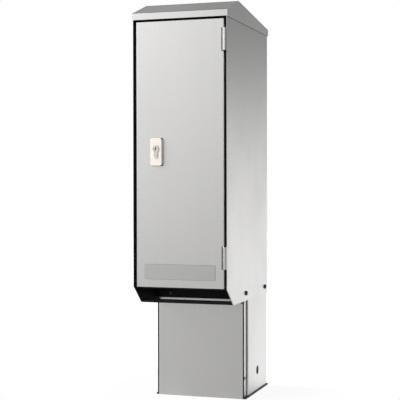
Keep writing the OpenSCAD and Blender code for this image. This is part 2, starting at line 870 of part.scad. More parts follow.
module inner_panel() {
  color("dimgray") placed() difference() {
    block([-panel_x, panel_y0, panel_z0], [panel_x, panel_y1, panel_z1]);
    panel_screw_holes();
    for (x = [-1, 1]) translate([0, panel_y0 - over, 0]) {
      bar_y(round_recess_d + 2 * socket_wall, [x * round_socket_x, 0, round_z], panel_t + 2 * over);
      bar_y(square_recess_d + 2 * socket_wall, [x * square_socket_x, 0, square_z], panel_t + 2 * over);
    }
    block([-bezel_open_w / 2, panel_y0 - over, breaker_z - bezel_open_h / 2],
      [bezel_open_w / 2, panel_y1 + over, breaker_z + bezel_open_h / 2]);
  }
}

module panel_screws() {
  color("dimgray") placed() panel_screw_places() rotate([90, 0, 0])
    pan_screw(panel_screw_d, 10, 3, panel_t + sheet_t + 4);
}

module gland_plate() {
  color("gray") placed() difference() {
    union() {
      translate([0, 0, plinth_z1 - sheet_t]) linear_extrude(sheet_t)
        rear_rounded(plinth_in_x, panel_y1, shell_in_y - sheet_t, fold_r - sheet_t);
      block([-gland_flange_x, panel_y1, panel_z0], [gland_flange_x, panel_y1 + sheet_t, plinth_z1]);
    }
    panel_screw_holes();
    bar_z(gland_d, [gland_x, gland_y, plinth_z1 - sheet_t - over], sheet_t + 2 * over);
  }
}

module cable_gland() {
  low = -sheet_t - gland_thread;
  high = gland_hex_h + gland_cap_h;
  color("darkslategray") placed() translate([gland_x, gland_y, plinth_z1]) difference() {
    union() {
      bar_z(gland_d, [0, 0, low], gland_thread + sheet_t + over);
      cylinder(r = gland_hex_r, h = gland_hex_h, $fn = 6);
      translate([0, 0, gland_hex_h]) cylinder(d1 = gland_d + 4, d2 = gland_d - 4, h = gland_cap_h);
      translate([0, 0, -sheet_t - gland_nut_h]) cylinder(r = gland_hex_r, h = gland_nut_h, $fn = 6);
    }
    bar_z(gland_bore_d, [0, 0, low - over], high - low + 2 * over);
  }
}

// Incoming supply on the back panel
rear_plate_x = 80;
rear_plate_h = 180;
rear_plate_t = 3;
rear_plate_y = shell_in_y - rear_plate_t;
rear_plate_rise = 50;
rear_plate_z = plinth_z1 + rear_plate_rise;
terminal_rise = 40;
earth_rise = 130;
terminal_z = rear_plate_z + terminal_rise;
earth_z = rear_plate_z + earth_rise;
module rear_plate() {
  color("silver") placed()
    block([-rear_plate_x, rear_plate_y, rear_plate_z],
      [rear_plate_x, shell_in_y, rear_plate_z + rear_plate_h]);
}

terminal_w = 20;
terminal_h = 46;
terminal_d = 38;
screw_hole_d = 9;
screw_hole_deep = 14;
wire_hole_d = 11;
module terminal_block() {
  back = rear_plate_y;
  color("lightgray") placed() difference() {
    block([-2 * terminal_w, back - terminal_d, terminal_z], [2 * terminal_w, back, terminal_z + terminal_h]);
    for (i = [-1.5:1:1.5]) {
      translate([i * terminal_w, back - terminal_d, terminal_z]) {
        bar_y(screw_hole_d, [0, -over, terminal_h / 2], screw_hole_deep);
        bar_z(wire_hole_d, [0, terminal_d / 2, -over], terminal_h + 2 * over);
      }
    }
  }
}

earth_half = 55;
earth_t = 10;
earth_h = 12;
earth_standoff = 14;
earth_pitch = 11;
earth_hole_d = 5;
module earth_bar() {
  front = rear_plate_y - earth_standoff - earth_t;
  color("gold") placed() difference() {
    union() {
      block([-earth_half, front, earth_z - earth_h / 2],
        [earth_half, front + earth_t, earth_z + earth_h / 2]);
      for (x = [-1, 1])
        bar_y(earth_t, [x * (earth_half - earth_t), front + earth_t - over, earth_z], earth_standoff + over);
    }
    for (i = [-3:3]) bar_y(earth_hole_d, [i * earth_pitch, front - over, earth_z], earth_t + 2 * over);
  }
}

// Breakers on their rail
module mounting_rail() {
  color("silver") placed() translate([0, breaker_back_y, breaker_z]) spread(-rail_half, rail_half) union() {
    translate([rail_d - 1, -rail_h / 2 + 4]) square([1, rail_h - 8]);
    for (s = [-1, 1]) {
      translate([0, s * (rail_h / 2 - 4.5) - 0.5]) square([rail_d, 1]);
      translate([0, s * (rail_h / 2 - 2.5) - 2.5]) square([1, 5]);
    }
  }
}

module rail_brackets() {
  color("gray") placed() both_sides() translate([rail_half, panel_y1, breaker_z - bracket_h / 2]) {
    cube([sheet_t, breaker_back_y + rail_d - panel_y1, bracket_h]);
    cube([bracket_foot, sheet_t, bracket_h]);
  }
}

// A breaker body over some width, with the recess and bearing holes of its toggle
module breaker_body(x0, x1, toggle_w) {
  mid = (x0 + x1) / 2;
  nose_back = breaker_y0 + nose_d;
  difference() {
    union() {
      block([x0, breaker_y0, breaker_z - nose_h / 2], [x1, nose_back + over, breaker_z + nose_h / 2]);
      block([x0, nose_back, breaker_z - breaker_h / 2], [x1, breaker_back_y, breaker_z + breaker_h / 2]);
    }
    recess = toggle_w / 2 + 0.4;
    bar_x(toggle_d + 0.8, [mid - recess, toggle_y, breaker_z], 2 * recess);
    block([mid - recess, breaker_y0 - over, breaker_z - 9], [mid + recess, toggle_y, breaker_z + 9]);
    bar_x(toggle_axle_d + 2 * run, [mid - toggle_w / 2 - 2, toggle_y, breaker_z], toggle_w + 4);
  }
}

breaker_gap = 0.2;
toggle_w = module_w * 0.45;
switch_toggle_w = module_w * 0.8;
switch_mid = -module_w - breaker_gap / 2;
breaker_mids = [module_w / 2 - breaker_gap / 2, module_w * 1.5 - breaker_gap / 2];
module residual_switch() {
  color("whitesmoke") placed() difference() {
    breaker_body(-2 * module_w, -breaker_gap, switch_toggle_w);
    bar_y(button_d + 2 * run, [button_x, breaker_y0 - over, button_z], button_l + over + 2);
  }
}

module breakers() {
  color("whitesmoke") placed() for (x = breaker_mids)
    breaker_body(x - (module_w - breaker_gap) / 2, x + (module_w - breaker_gap) / 2, toggle_w);
}

// A rocking toggle at rest in its upper place
module toggle(mid, w) {
  translate([mid, toggle_y, breaker_z]) {
    bar_x(toggle_d, [-w / 2, 0, 0], w);
    bar_x(toggle_axle_d, [-w / 2 - 1.5, 0, 0], w + 3);
    rotate([-toggle_tilt, 0, 0]) block([-w / 2, -toggle_reach, -2.5], [w / 2, 0, 2.5]);
  }
}

module switch_toggle() { color("royalblue") placed() toggle(switch_mid, switch_toggle_w); }
module breaker_toggle_left() { color("dimgray") placed() toggle(breaker_mids[0], toggle_w); }
module breaker_toggle_right() { color("dimgray") placed() toggle(breaker_mids[1], toggle_w); }

module test_button() {
  color("gold") placed() bar_y(button_d, [button_x, breaker_y0 - button_proud, button_z], button_l);
}

// Hinge ears beside a lid's tongue, over a face at depth face_y whose lid reaches half above its middle
function lid_pin_y(face_y) = face_y - slip - lid_t / 2;
module lid_ears(x, z, half, face_y) {
  pin_y = lid_pin_y(face_y);
  pin_z = z + half + lid_drop;
  difference() {
    for (s = [-1, 1]) translate([x + s * (lid_ear_in + slip + lid_ear_t / 2), 0, 0]) {
      bar_x(2 * lid_barrel_r, [-lid_ear_t / 2, pin_y, pin_z], lid_ear_t);
      block([-lid_ear_t / 2, pin_y, pin_z - lid_barrel_r],
        [lid_ear_t / 2, face_y + lid_ear_foot, pin_z + lid_barrel_r]);
      block([-lid_ear_t / 2, face_y + step, pin_z - lid_drop - lid_ear_foot],
        [lid_ear_t / 2, face_y + lid_ear_foot, pin_z]);
    }
    bar_x(lid_pin_d, [x - lid_ear_in - 10, pin_y, pin_z], 2 * lid_ear_in + 20);
  }
}

module lid_tongue(x, z, half, face_y) {
  pin_y = lid_pin_y(face_y);
  pin_z = z + half + lid_drop;
  difference() {
    union() {
      bar_x(2 * lid_barrel_r, [x - lid_ear_in, pin_y, pin_z], 2 * lid_ear_in);
      block([x - lid_ear_in, pin_y - lid_t / 2, z + half - 3], [x + lid_ear_in, pin_y + lid_t / 2, pin_z]);
    }
    bar_x(lid_pin_d + 2 * run, [x - lid_ear_in - over, pin_y, pin_z], 2 * (lid_ear_in + over));
  }
}

module lid_pin(x, z, half, face_y) {
  reach = lid_ear_in + slip + lid_ear_t;
  bar_x(lid_pin_d, [x - reach, lid_pin_y(face_y), z + half + lid_drop], 2 * reach);
}

module lid_pins() {
  color("silver") placed() {
    for (s = [-1, 1]) {
      lid_pin(s * round_socket_x, round_z, round_half, round_face_y);
      lid_pin(s * square_socket_x, square_z, square_half, square_face_y);
      lid_pin(s * window_ear_x, breaker_z, window_half, window_y);
    }
  }
}

// Sockets
module round_socket(x) {
  back = panel_y1 + socket_back;
  difference() {
    union() {
      translate([x, 0, round_z]) pushed(panel_y0 - round_flange_t, panel_y0)
        rounded(round_flange, round_flange, flange_r);
      bar_y(round_collar_d, [x, round_face_y, round_z], round_reach + over);
      bar_y(round_recess_d + 2 * socket_wall, [x, panel_y0 - over, round_z], back - panel_y0 + over);
      lid_ears(x, round_z, round_half, round_face_y);
    }
    bar_y(round_recess_d, [x, round_face_y - over, round_z], back - 5 - round_face_y + over);
  }
  for (a = [0:72:288])
    translate([x, 0, round_z]) rotate([0, a, 0])
      bar_y(contact_d, [0, round_face_y + 14, round_recess_d * 0.3], back - 4 - round_face_y - 14);
}

module square_socket(x) {
  back = panel_y1 + socket_back;
  floor_y = square_face_y + 17.5;
  difference() {
    union() {
      translate([x, 0, square_z]) pushed(square_face_y, panel_y0)
        rounded(square_flange, square_flange, flange_r);
      bar_y(square_recess_d + 2 * socket_wall, [x, panel_y0 - over, square_z], back - panel_y0 + over);
      lid_ears(x, square_z, square_half, square_face_y);
    }
    bar_y(square_recess_d, [x, square_face_y - over, square_z], floor_y - square_face_y + over);
    for (s = [-1, 1]) bar_y(5, [x + s * 9.5, floor_y - over, square_z], 14);
  }
}

module round_socket_left() { color("crimson") placed() round_socket(-round_socket_x); }
module round_socket_right() { color("crimson") placed() round_socket(round_socket_x); }
module square_socket_left() { color("royalblue") placed() square_socket(-square_socket_x); }
module square_socket_right() { color("royalblue") placed() square_socket(square_socket_x); }

module round_lid(x) {
  bar_y(2 * round_half, [x, round_face_y - slip - lid_t, round_z], lid_t);
  lid_tongue(x, round_z, round_half, round_face_y);
}

module square_lid(x) {
  translate([x, 0, square_z]) pushed(square_face_y - slip - lid_t, square_face_y - slip)
    rounded(square_flange, square_flange, flange_r);
  lid_tongue(x, square_z, square_half, square_face_y);
}

module round_lid_left() { color("firebrick") placed() round_lid(-round_socket_x); }
module round_lid_right() { color("firebrick") placed() round_lid(round_socket_x); }
module square_lid_left() { color("steelblue") placed() square_lid(-square_socket_x); }
module square_lid_right() { color("steelblue") placed() square_lid(square_socket_x); }

module window_bezel() {
  color("dimgray") placed() {
    difference() {
      translate([0, 0, breaker_z]) pushed(window_y, panel_y0) rounded(bezel_w, bezel_h, flange_r);
      block([-bezel_open_w / 2, window_y - over, breaker_z - bezel_open_h / 2],
        [bezel_open_w / 2, panel_y0 + over, breaker_z + bezel_open_h / 2]);
    }
    for (s = [-1, 1]) lid_ears(s * window_ear_x, breaker_z, window_half, window_y);
  }
}

module breaker_window() {
  front = window_y - slip - lid_t;
  rim = 4;
  color("lightblue") placed() {
    difference() {
      translate([0, 0, breaker_z]) pushed(front, front + lid_t) rounded(window_w, window_h, flange_r);
      block([-window_w / 2 + rim, front + 3, breaker_z - window_half + rim],
        [window_w / 2 - rim, front + lid_t + over, breaker_z + window_half - rim]);
    }
    for (s = [-1, 1]) lid_tongue(s * window_ear_x, breaker_z, window_half, window_y);
  }
}

base_plate();
plinth_shell();
plinth_cover();
cover_screws();
side_plugs();
cabinet_shell();
body_screws();
body_nuts();
roof_hood();
hood_nuts();
outlet_bar();
outlet_trim();
outlet_lining();
door_frame();
door_seal();
hinge_body_leaves();
hinge_pins();
hinge_washers();
rod_keepers();
panel_rails();
inner_panel();
panel_screws();
gland_plate();
cable_gland();
rear_plate();
terminal_block();
earth_bar();
mounting_rail();
rail_brackets();
residual_switch();
breakers();
window_bezel();
round_socket_left();
round_socket_right();
square_socket_left();
square_socket_right();
lid_pins();
door_panel();
door_stiffener();
hinge_door_leaves();
escutcheon();
escutcheon_screws();
lock_cylinder();
lock_case();
rod_guides();
label_plate();
lock_plug();
lock_wheel();
upper_rod();
lower_rod();
round_lid_left();
round_lid_right();
square_lid_left();
square_lid_right();
breaker_window();
switch_toggle();
test_button();
breaker_toggle_left();
breaker_toggle_right();
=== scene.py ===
# Roadside utility cabinet: dressed pieces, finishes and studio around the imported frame.
import json
import math

import bmesh
import bpy
from mathutils import Matrix, Vector
from mathutils.bvhtree import BVHTree


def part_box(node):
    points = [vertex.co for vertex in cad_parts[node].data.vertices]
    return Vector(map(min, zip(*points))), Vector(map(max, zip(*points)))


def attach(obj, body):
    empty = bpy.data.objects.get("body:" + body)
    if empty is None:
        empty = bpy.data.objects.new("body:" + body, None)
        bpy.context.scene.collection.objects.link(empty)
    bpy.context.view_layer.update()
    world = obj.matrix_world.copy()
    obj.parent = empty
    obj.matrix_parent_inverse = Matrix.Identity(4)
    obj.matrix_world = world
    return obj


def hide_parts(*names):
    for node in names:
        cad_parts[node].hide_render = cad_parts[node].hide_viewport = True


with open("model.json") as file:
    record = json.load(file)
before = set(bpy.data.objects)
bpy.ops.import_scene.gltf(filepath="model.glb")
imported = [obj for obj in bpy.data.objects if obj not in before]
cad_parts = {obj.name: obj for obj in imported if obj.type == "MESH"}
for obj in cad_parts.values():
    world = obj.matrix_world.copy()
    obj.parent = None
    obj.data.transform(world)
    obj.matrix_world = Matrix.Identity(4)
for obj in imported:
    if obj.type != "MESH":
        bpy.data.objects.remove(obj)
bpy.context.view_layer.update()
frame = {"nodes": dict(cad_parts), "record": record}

MM = 0.001
TO_FRONT = Vector((0, -1, 0))
TO_BACK = Vector((0, 1, 0))
UP = Vector((0, 0, 1))
SIDES = (("right", 1), ("left", -1))
BODY_OF = {node: body for body, nodes in frame["record"]["behaviour"]["bodies"].items() for node in nodes}
SLOT_OF = {row["node"]: row["material_slot"] for row in frame["record"]["subparts"]}

# Shader helpers


def place(tree, kind, inputs=None, **settings):
    """A shader node with its settings made and its sockets set or linked."""
    node = tree.nodes.new(kind)
    for name, value in settings.items():
        setattr(node, name, value)
    set_sockets(tree, node.inputs, inputs or {})
    return node


def set_sockets(tree, sockets, values):
    """Sets or links each named socket."""
    for name, value in values.items():
        if isinstance(value, bpy.types.NodeSocket):
            tree.links.new(value, sockets[name])
        else:
            sockets[name].default_value = value


def maths(tree, operation, *values):
    """A Math node's value."""
    return place(tree, "ShaderNodeMath", dict(enumerate(values)), operation=operation).outputs[0]


def ranged(tree, value, low, high, to_low=0.0, to_high=1.0):
    """A value carried smoothly from one range to another, and held at both ends."""
    inputs = {"Value": value, "From Min": low, "From Max": high, "To Min": to_low, "To Max": to_high}
    return place(tree, "ShaderNodeMapRange", inputs, interpolation_type="SMOOTHSTEP").outputs[0]


def mixed(tree, share, first, second):
    """A colour between two colours."""
    return place(tree, "ShaderNodeMix", {0: share, 6: first, 7: second}, data_type="RGBA").outputs[2]


def object_place(tree, scale=(1.0, 1.0, 1.0)):
    """The place on a piece, in its own frame, times a scale for each axis."""
    where = place(tree, "ShaderNodeTexCoord").outputs["Object"]
    return place(tree, "ShaderNodeVectorMath", {0: where, 1: scale}, operation="MULTIPLY").outputs[0]


def noise(tree, vector, scale, detail, rough=0.55):
    inputs = {"Vector": vector, "Scale": scale, "Detail": detail, "Roughness": rough}
    return place(tree, "ShaderNodeTexNoise", inputs).outputs[0]


def new_group(name, inputs, outputs):
    """An empty shader group, with its input sockets by name and its output sockets by name."""
    tree = bpy.data.node_groups.new(name, "ShaderNodeTree")
    for label, value in inputs.items():
        kind = "NodeSocketFloat" if isinstance(value, float) else "NodeSocketVector"
        tree.interface.new_socket(label, in_out="INPUT", socket_type=kind).default_value = value
    for label, kind in outputs.items():
        tree.interface.new_socket(label, in_out="OUTPUT", socket_type=kind)
    return tree, tree.nodes.new("NodeGroupInput").outputs, tree.nodes.new("NodeGroupOutput").inputs


def use(tree, group, inputs):
    """A shader group placed in a material with its own values."""
    node = tree.nodes.new("ShaderNodeGroup")
    node.node_tree = group
    set_sockets(tree, node.inputs, inputs)
    return node.outputs


# Effects that several finishes share


def make_brushed_grain():
    """Fine lines of a brushed sheet. Lines gives how many cross a metre along each axis."""
    fine_share, broad_share = 0.55, 0.45
    broad_scale = 0.11
    groove = 0.1 * MM
    outputs = {"Streak": "NodeSocketFloat", "Normal": "NodeSocketVector"}
    tree, given, result = new_group("brushed_grain", {"Lines": (900.0, 900.0, 10.0), "Depth": 0.1}, outputs)
    where = object_place(tree, given["Lines"])
    fine = noise(tree, where, 1.0, 3.0, 0.65)
    broad = noise(tree, where, broad_scale, 2.0)
    broad_part = maths(tree, "MULTIPLY", broad, broad_share)
    streak = maths(tree, "ADD", maths(tree, "MULTIPLY", fine, fine_share), broad_part)
    bump = place(tree, "ShaderNodeBump", {"Strength": given["Depth"], "Distance": groove, "Height": fine})
    tree.links.new(streak, result["Streak"])
    tree.links.new(bump.outputs[0], result["Normal"])
    return tree


def make_worn_edges():
    """A mask of the edges that hands and tools rub, broken up along their length."""
    flat_cosine, worn_cosine = 0.995, 0.86
    outputs = {"Wear": "NodeSocketFloat"}
    tree, given, result = new_group("worn_edges", {"Radius": 0.001, "Breaks": 160.0}, outputs)
    rounded = place(tree, "ShaderNodeBevel", {"Radius": given["Radius"]}, samples=6).outputs[0]
    plain = place(tree, "ShaderNodeNewGeometry").outputs["Normal"]
    along = place(tree, "ShaderNodeVectorMath", {0: rounded, 1: plain}, operation="DOT_PRODUCT")
    edge = ranged(tree, along.outputs["Value"], flat_cosine, worn_cosine)
    broken = ranged(tree, noise(tree, object_place(tree), given["Breaks"], 4.0), 0.38, 0.62)
    tree.links.new(maths(tree, "MULTIPLY", edge, broken), result["Wear"])
    return tree


def make_handling_marks():
    """Cloudy marks of handling and wiping that change a finish's gloss."""
    stretched = (1.0, 1.0, 0.6)
    tree, given, result = new_group("handling_marks", {"Size": 5.0}, {"Mark": "NodeSocketFloat"})
    cloud = noise(tree, object_place(tree, stretched), given["Size"], 6.0, 0.6)
    tree.links.new(ranged(tree, cloud, 0.35, 0.68), result["Mark"])
    return tree


def make_moulded_grain():
    """The fine skin of moulded plastic, rubber or a powder coat."""
    grain_depth = 0.15 * MM
    outputs = {"Speckle": "NodeSocketFloat", "Normal": "NodeSocketVector"}
    tree, given, result = new_group("moulded_grain", {"Grains": 1500.0, "Depth": 0.2}, outputs)
    speckle = noise(tree, object_place(tree), given["Grains"], 2.0, 0.5)
    inputs = {"Strength": given["Depth"], "Distance": grain_depth, "Height": speckle}
    bump = place(tree, "ShaderNodeBump", inputs)
    tree.links.new(speckle, result["Speckle"])
    tree.links.new(bump.outputs[0], result["Normal"])
    return tree


BRUSHED_GRAIN = make_brushed_grain()
WORN_EDGES = make_worn_edges()
HANDLING_MARKS = make_handling_marks()
MOULDED_GRAIN = make_moulded_grain()


# Finishes


def new_finish(name):
    """A material with a bare Principled shader."""
    material = bpy.data.materials.new(name)
    material.use_nodes = True
    tree = material.node_tree
    tree.nodes.clear()
    shader = tree.nodes.new("ShaderNodeBsdfPrincipled")
    output = tree.nodes.new("ShaderNodeOutputMaterial")
    tree.links.new(shader.outputs["BSDF"], output.inputs["Surface"])
    return material, tree, shader.inputs


def shade(colour, times=1.0):
    """A colour made darker or lighter, with full alpha."""
    return tuple(part * times for part in colour) + (1.0,)


VERTICAL_LINES = (1100.0, 1100.0, 9.0)
CROSS_LINES = (9.0, 1100.0, 1100.0)
STEEL = (0.74, 0.735, 0.725)
# The plinth's stainless is a slightly darker copy of the same steel: painted shade for the plinth under the
# cabinet.
SHADED_PLINTH_STEEL = tuple(0.97 * part for part in STEEL)
RUBBED_STEEL = (0.86, 0.855, 0.845)


def brushed_steel(name, colour=STEEL, lines=VERTICAL_LINES, rough=0.3, spread=0.2):
    """Brushed stainless sheet: streaks, wiped patches and bright rubbed edges."""
    quarter_turn = 0.25
    material, tree, sockets = new_finish(name)
    grain = use(tree, BRUSHED_GRAIN, {"Lines": lines, "Depth": 0.1})
    mark = use(tree, HANDLING_MARKS, {"Size": 4.0})["Mark"]
    wear = use(tree, WORN_EDGES, {"Radius": 0.8 * MM, "Breaks": 220.0})["Wear"]
    sheet = mixed(tree, grain["Streak"], shade(colour, 0.955), shade(colour, 1.045))
    wiped = mixed(tree, maths(tree, "MULTIPLY", mark, 0.35), sheet, shade(colour, 0.965))
    rubbed = mixed(tree, maths(tree, "MULTIPLY", wear, 0.3), wiped, shade(RUBBED_STEEL))
    gloss = maths(tree, "MULTIPLY_ADD", grain["Streak"], 0.12, rough - 0.06)
    gloss = maths(tree, "MULTIPLY_ADD", mark, 0.05, gloss)
    gloss = maths(tree, "MULTIPLY_ADD", wear, -0.1, gloss)
    tangent = place(tree, "ShaderNodeTangent", direction_type="RADIAL", axis="Z").outputs[0]
    turn = quarter_turn if lines == CROSS_LINES else 0.0
    set_sockets(tree, sockets, {"Base Color": rubbed, "Roughness": gloss, "Normal": grain["Normal"],
                                "Metallic": 1.0, "Anisotropic": spread, "Anisotropic Rotation": turn,
                                "Tangent": tangent})
    return material


def plain_metal(name, colour, rough):
    """Plated, turned or drawn metal of small fittings."""
    material, tree, sockets = new_finish(name)
    grain = use(tree, MOULDED_GRAIN, {"Grains": 900.0, "Depth": 0.06})
    mark = use(tree, HANDLING_MARKS, {"Size": 60.0})["Mark"]
    wear = use(tree, WORN_EDGES, {"Radius": 0.5 * MM, "Breaks": 400.0})["Wear"]
    dulled = mixed(tree, mark, shade(colour, 1.04), shade(colour, 0.86))
    rubbed = mixed(tree, maths(tree, "MULTIPLY", wear, 0.6), dulled, shade(colour, 1.18))
    gloss = maths(tree, "MULTIPLY_ADD", mark, 0.14, rough - 0.05)
    gloss = maths(tree, "MULTIPLY_ADD", grain["Speckle"], 0.06, gloss)
    set_sockets(tree, sockets, {"Base Color": rubbed, "Roughness": gloss, "Normal": grain["Normal"],
                                "Metallic": 1.0})
    return material


def coated(name, colour, rough, grains=1400.0, depth=0.25, worn=(0.32, 0.32, 0.31), coat=0.0, gleam=0.5):
    """Powder coat, moulded plastic or rubber, with a fine skin and rubbed edges."""
    material, tree, sockets = new_finish(name)
    grain = use(tree, MOULDED_GRAIN, {"Grains": grains, "Depth": depth})
    mark = use(tree, HANDLING_MARKS, {"Size": 14.0})["Mark"]
    wear = use(tree, WORN_EDGES, {"Radius": 0.6 * MM, "Breaks": 300.0})["Wear"]
    outer = mixed(tree, grain["Speckle"], shade(colour, 0.9), shade(colour, 1.1))
    handled = mixed(tree, maths(tree, "MULTIPLY", mark, 0.4), outer, shade(colour, 0.88))
    rubbed = mixed(tree, maths(tree, "MULTIPLY", wear, 0.3), handled, shade(worn))
    gloss = maths(tree, "MULTIPLY_ADD", mark, -0.1, rough + 0.05)
    gloss = maths(tree, "MULTIPLY_ADD", grain["Speckle"], 0.08, gloss)
    set_sockets(tree, sockets, {"Base Color": rubbed, "Roughness": gloss, "Normal": grain["Normal"],
                                "Coat Weight": coat, "Coat Roughness": 0.12, "Specular IOR Level": gleam})
    return material


def clear_plastic(name):
    """Clear moulded polycarbonate with wiped, faintly scuffed faces."""
    material, tree, sockets = new_finish(name)
    mark = use(tree, HANDLING_MARKS, {"Size": 40.0})["Mark"]
    wear = use(tree, WORN_EDGES, {"Radius": 0.6 * MM, "Breaks": 300.0})["Wear"]
    tint = mixed(tree, wear, (0.93, 0.95, 0.96, 1.0), (0.82, 0.85, 0.87, 1.0))
    gloss = maths(tree, "MULTIPLY_ADD", mark, 0.06, 0.03)
    set_sockets(tree, sockets, {"Base Color": tint, "Roughness": gloss, "IOR": 1.58,
                                "Transmission Weight": 1.0})
    return material


FINISH = {
    "door_steel": brushed_steel("door_sheet"),
    "body_steel": brushed_steel("body_sheet"),
    "hood_steel": brushed_steel("hood_sheet", lines=CROSS_LINES),
    # A slightly darker copy of the same stainless: painted shade on the plinth.
    "plinth_steel": brushed_steel("plinth_sheet_shaded", SHADED_PLINTH_STEEL),
    "label_steel": brushed_steel("label_sheet", (0.6, 0.597, 0.592), CROSS_LINES),
    "hinge_steel": brushed_steel("hinge_steel", (0.78, 0.775, 0.76), rough=0.26, spread=0.3),
    "screw_steel": plain_metal("bright_zinc", (0.66, 0.67, 0.67), 0.3),
    "lock_metal": plain_metal("satin_nickel", (0.72, 0.7, 0.66), 0.24),
    "brass": plain_metal("plain_brass", (0.74, 0.56, 0.26), 0.28),
    "dark_screw": coated("black_screw_coat", (0.03, 0.03, 0.033), 0.35, depth=0.08),
    "dark_steel": coated("base_coat", (0.045, 0.045, 0.047), 0.5),
    "black_panel": coated("panel_coat", (0.005, 0.005, 0.006), 0.55, worn=(0.04, 0.04, 0.04), gleam=0.12),
    "black_rubber": coated("black_rubber", (0.007, 0.007, 0.008), 0.5, grains=900.0, depth=0.3,
                           worn=(0.03, 0.03, 0.03), gleam=0.22),
    "cream_plastic": coated("cream_gloss", (0.93, 0.87, 0.79), 0.22, grains=500.0, depth=0.04,
                            worn=(0.96, 0.92, 0.86), coat=0.5),
    "dark_plastic": coated("dark_moulding", (0.03, 0.031, 0.034), 0.42, worn=(0.12, 0.12, 0.12)),
    "grey_plastic": coated("pale_grey_moulding", (0.62, 0.62, 0.6), 0.38, depth=0.15,
                           worn=(0.75, 0.75, 0.73)),
    "red_plastic": coated("red_moulding", (0.52, 0.018, 0.014), 0.36, depth=0.15, worn=(0.65, 0.16, 0.13)),
    "blue_plastic": coated("blue_moulding", (0.012, 0.06, 0.3), 0.36, depth=0.15, worn=(0.1, 0.2, 0.45)),
    "yellow_plastic": coated("yellow_moulding", (0.82, 0.5, 0.015), 0.34, depth=0.1, worn=(0.9, 0.7, 0.2)),
    "clear_plastic": clear_plastic("clear_moulding"),
}


# Mesh helpers

SHARP = math.radians(33)
FLAT = math.radians(1)
WELD = 0.001 * MM


def seat(piece, node):
    """Puts a finished piece in the place of a node, on its body and with its finish."""
    piece.data.materials.append(FINISH[SLOT_OF[node]])
    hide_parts(node)
    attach(piece, BODY_OF[node])


def fit(name, bm, slot, body):
    """A small added piece on a body, with a slot's finish."""
    piece = new_piece(name, bm)
    keep_flat(piece)
    piece.data.materials.append(FINISH[slot])
    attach(piece, body)


def new_piece(name, bm):
    """An object from a built mesh, shaded smooth."""
    mesh = bpy.data.meshes.new(name)
    bmesh.ops.recalc_face_normals(bm, faces=bm.faces)
    for face in bm.faces:
        face.smooth = True
    bm.to_mesh(mesh)
    bm.free()
    piece = bpy.data.objects.new(name, mesh)
    bpy.context.scene.collection.objects.link(piece)
    return piece


def node_mesh(node):
    """A node's mesh with its flat faces whole again."""
    bm = bmesh.new()
    bm.from_mesh(frame["nodes"][node].data)
    bmesh.ops.remove_doubles(bm, verts=bm.verts, dist=WELD)
    bmesh.ops.dissolve_limit(bm, angle_limit=FLAT, verts=bm.verts, edges=bm.edges)
    return bm


def keep_flat(piece):
    """Keeps the flat faces flat beside rounded edges."""
    piece.modifiers.new("flat_faces", "WEIGHTED_NORMAL").keep_sharp = True


def round_edges(piece, width, segments=3):
    """Rounds the marked edges, without a slide along the seams of flat faces."""
    bevel = piece.modifiers.new("rounded_edges", "BEVEL")
    bevel.limit_method = "WEIGHT"
    bevel.width = width
    bevel.segments = segments
    bevel.loop_slide = False
    keep_flat(piece)


def mark_edges(bm, softness=None):
    """Marks each sharp edge for rounding. softness gives its share of the full radius from its middle."""
    layer = bm.edges.layers.float.new("bevel_weight_edge")
    for edge in bm.edges:
        if edge.is_manifold and edge.calc_face_angle() > SHARP:
            edge[layer] = softness((edge.verts[0].co + edge.verts[1].co) / 2) if softness else 1.0


def dress(node, width_mm, softness=None):
    """A node's own shape with its edges rounded and a finish on it."""
    bm = node_mesh(node)
    mark_edges(bm, softness)
    piece = new_piece(node + "_dressed", bm)
    round_edges(piece, width_mm * MM)
    seat(piece, node)


def ring(radius, height, count=36):
    """A round ring of points at a height."""
    turn = math.tau / count
    return [Vector((radius * math.cos(i * turn), radius * math.sin(i * turn), height)) for i in range(count)]


def hexagon_ring(half_width, height, count=36):
    """The same number of points on a hexagon."""
    points = []
    for i in range(count):
        angle = math.tau * i / count
        reach = half_width / math.cos(angle % (math.pi / 3) - math.pi / 6)
        points.append(Vector((reach * math.cos(angle), reach * math.sin(angle), height)))
    return points


def plate_ring(width, depth, radius, height, corner_steps=6):
    """A rounded rectangle of points at a height."""
    points = []
    for x, y, start in ((1, 1, 0), (-1, 1, 90), (-1, -1, 180), (1, -1, 270)):
        centre = Vector((x * (width / 2 - radius), y * (depth / 2 - radius), height))
        for i in range(corner_steps + 1):
            angle = math.radians(start + 90 * i / corner_steps)
            points.append(centre + radius * Vector((math.cos(angle), math.sin(angle), 0)))
    return points


def skin(bm, rings, where=Matrix()):
    """A closed skin through rings of points, capped at both ends."""
    made = [[bm.verts.new(where @ point) for point in points] for points in rings]
    for lower, upper in zip(made, made[1:]):
        for i in range(len(lower)):
            j = (i + 1) % len(lower)
            bm.faces.new((lower[i], lower[j], upper[j], upper[i]))
    bm.faces.new(list(reversed(made[0])))
    bm.faces.new(made[-1])


def facing(direction, at):
    """The place of something made along +Z that has to face a direction."""
    return Matrix.Translation(at) @ direction.to_track_quat("Z", "Y").to_matrix().to_4x4()


def on_face(low, high, y):
    """The middle of a box seen from the front, at a depth."""
    return Vector(((low.x + high.x) / 2, y, (low.z + high.z) / 2))


def islands(node):
    """The lowest and highest corners of each separate solid in a node."""
    bm = node_mesh(node)
    left = set(bm.verts)
    boxes = []
    while left:
        to_search = [left.pop()]
        found = list(to_search)
        while to_search:
            for edge in to_search.pop().link_edges:
                for vert in edge.verts:
                    if vert in left:
                        left.remove(vert)
                        to_search.append(vert)
                        found.append(vert)
        low = Vector([min(vert.co[axis] for vert in found) for axis in range(3)])
        high = Vector([max(vert.co[axis] for vert in found) for axis in range(3)])
        boxes.append((low, high))
    bm.free()
    return boxes


def first_met(node, start, direction):
    """The point of a node that is met first from a start along a direction."""
    bm = node_mesh(node)
    point = BVHTree.FromBMesh(bm).ray_cast(start, direction)[0]
    bm.free()
    return point


FAR = 1.0


def front_of(node, x, z):
    return first_met(node, Vector((x, -FAR, z)), TO_BACK)


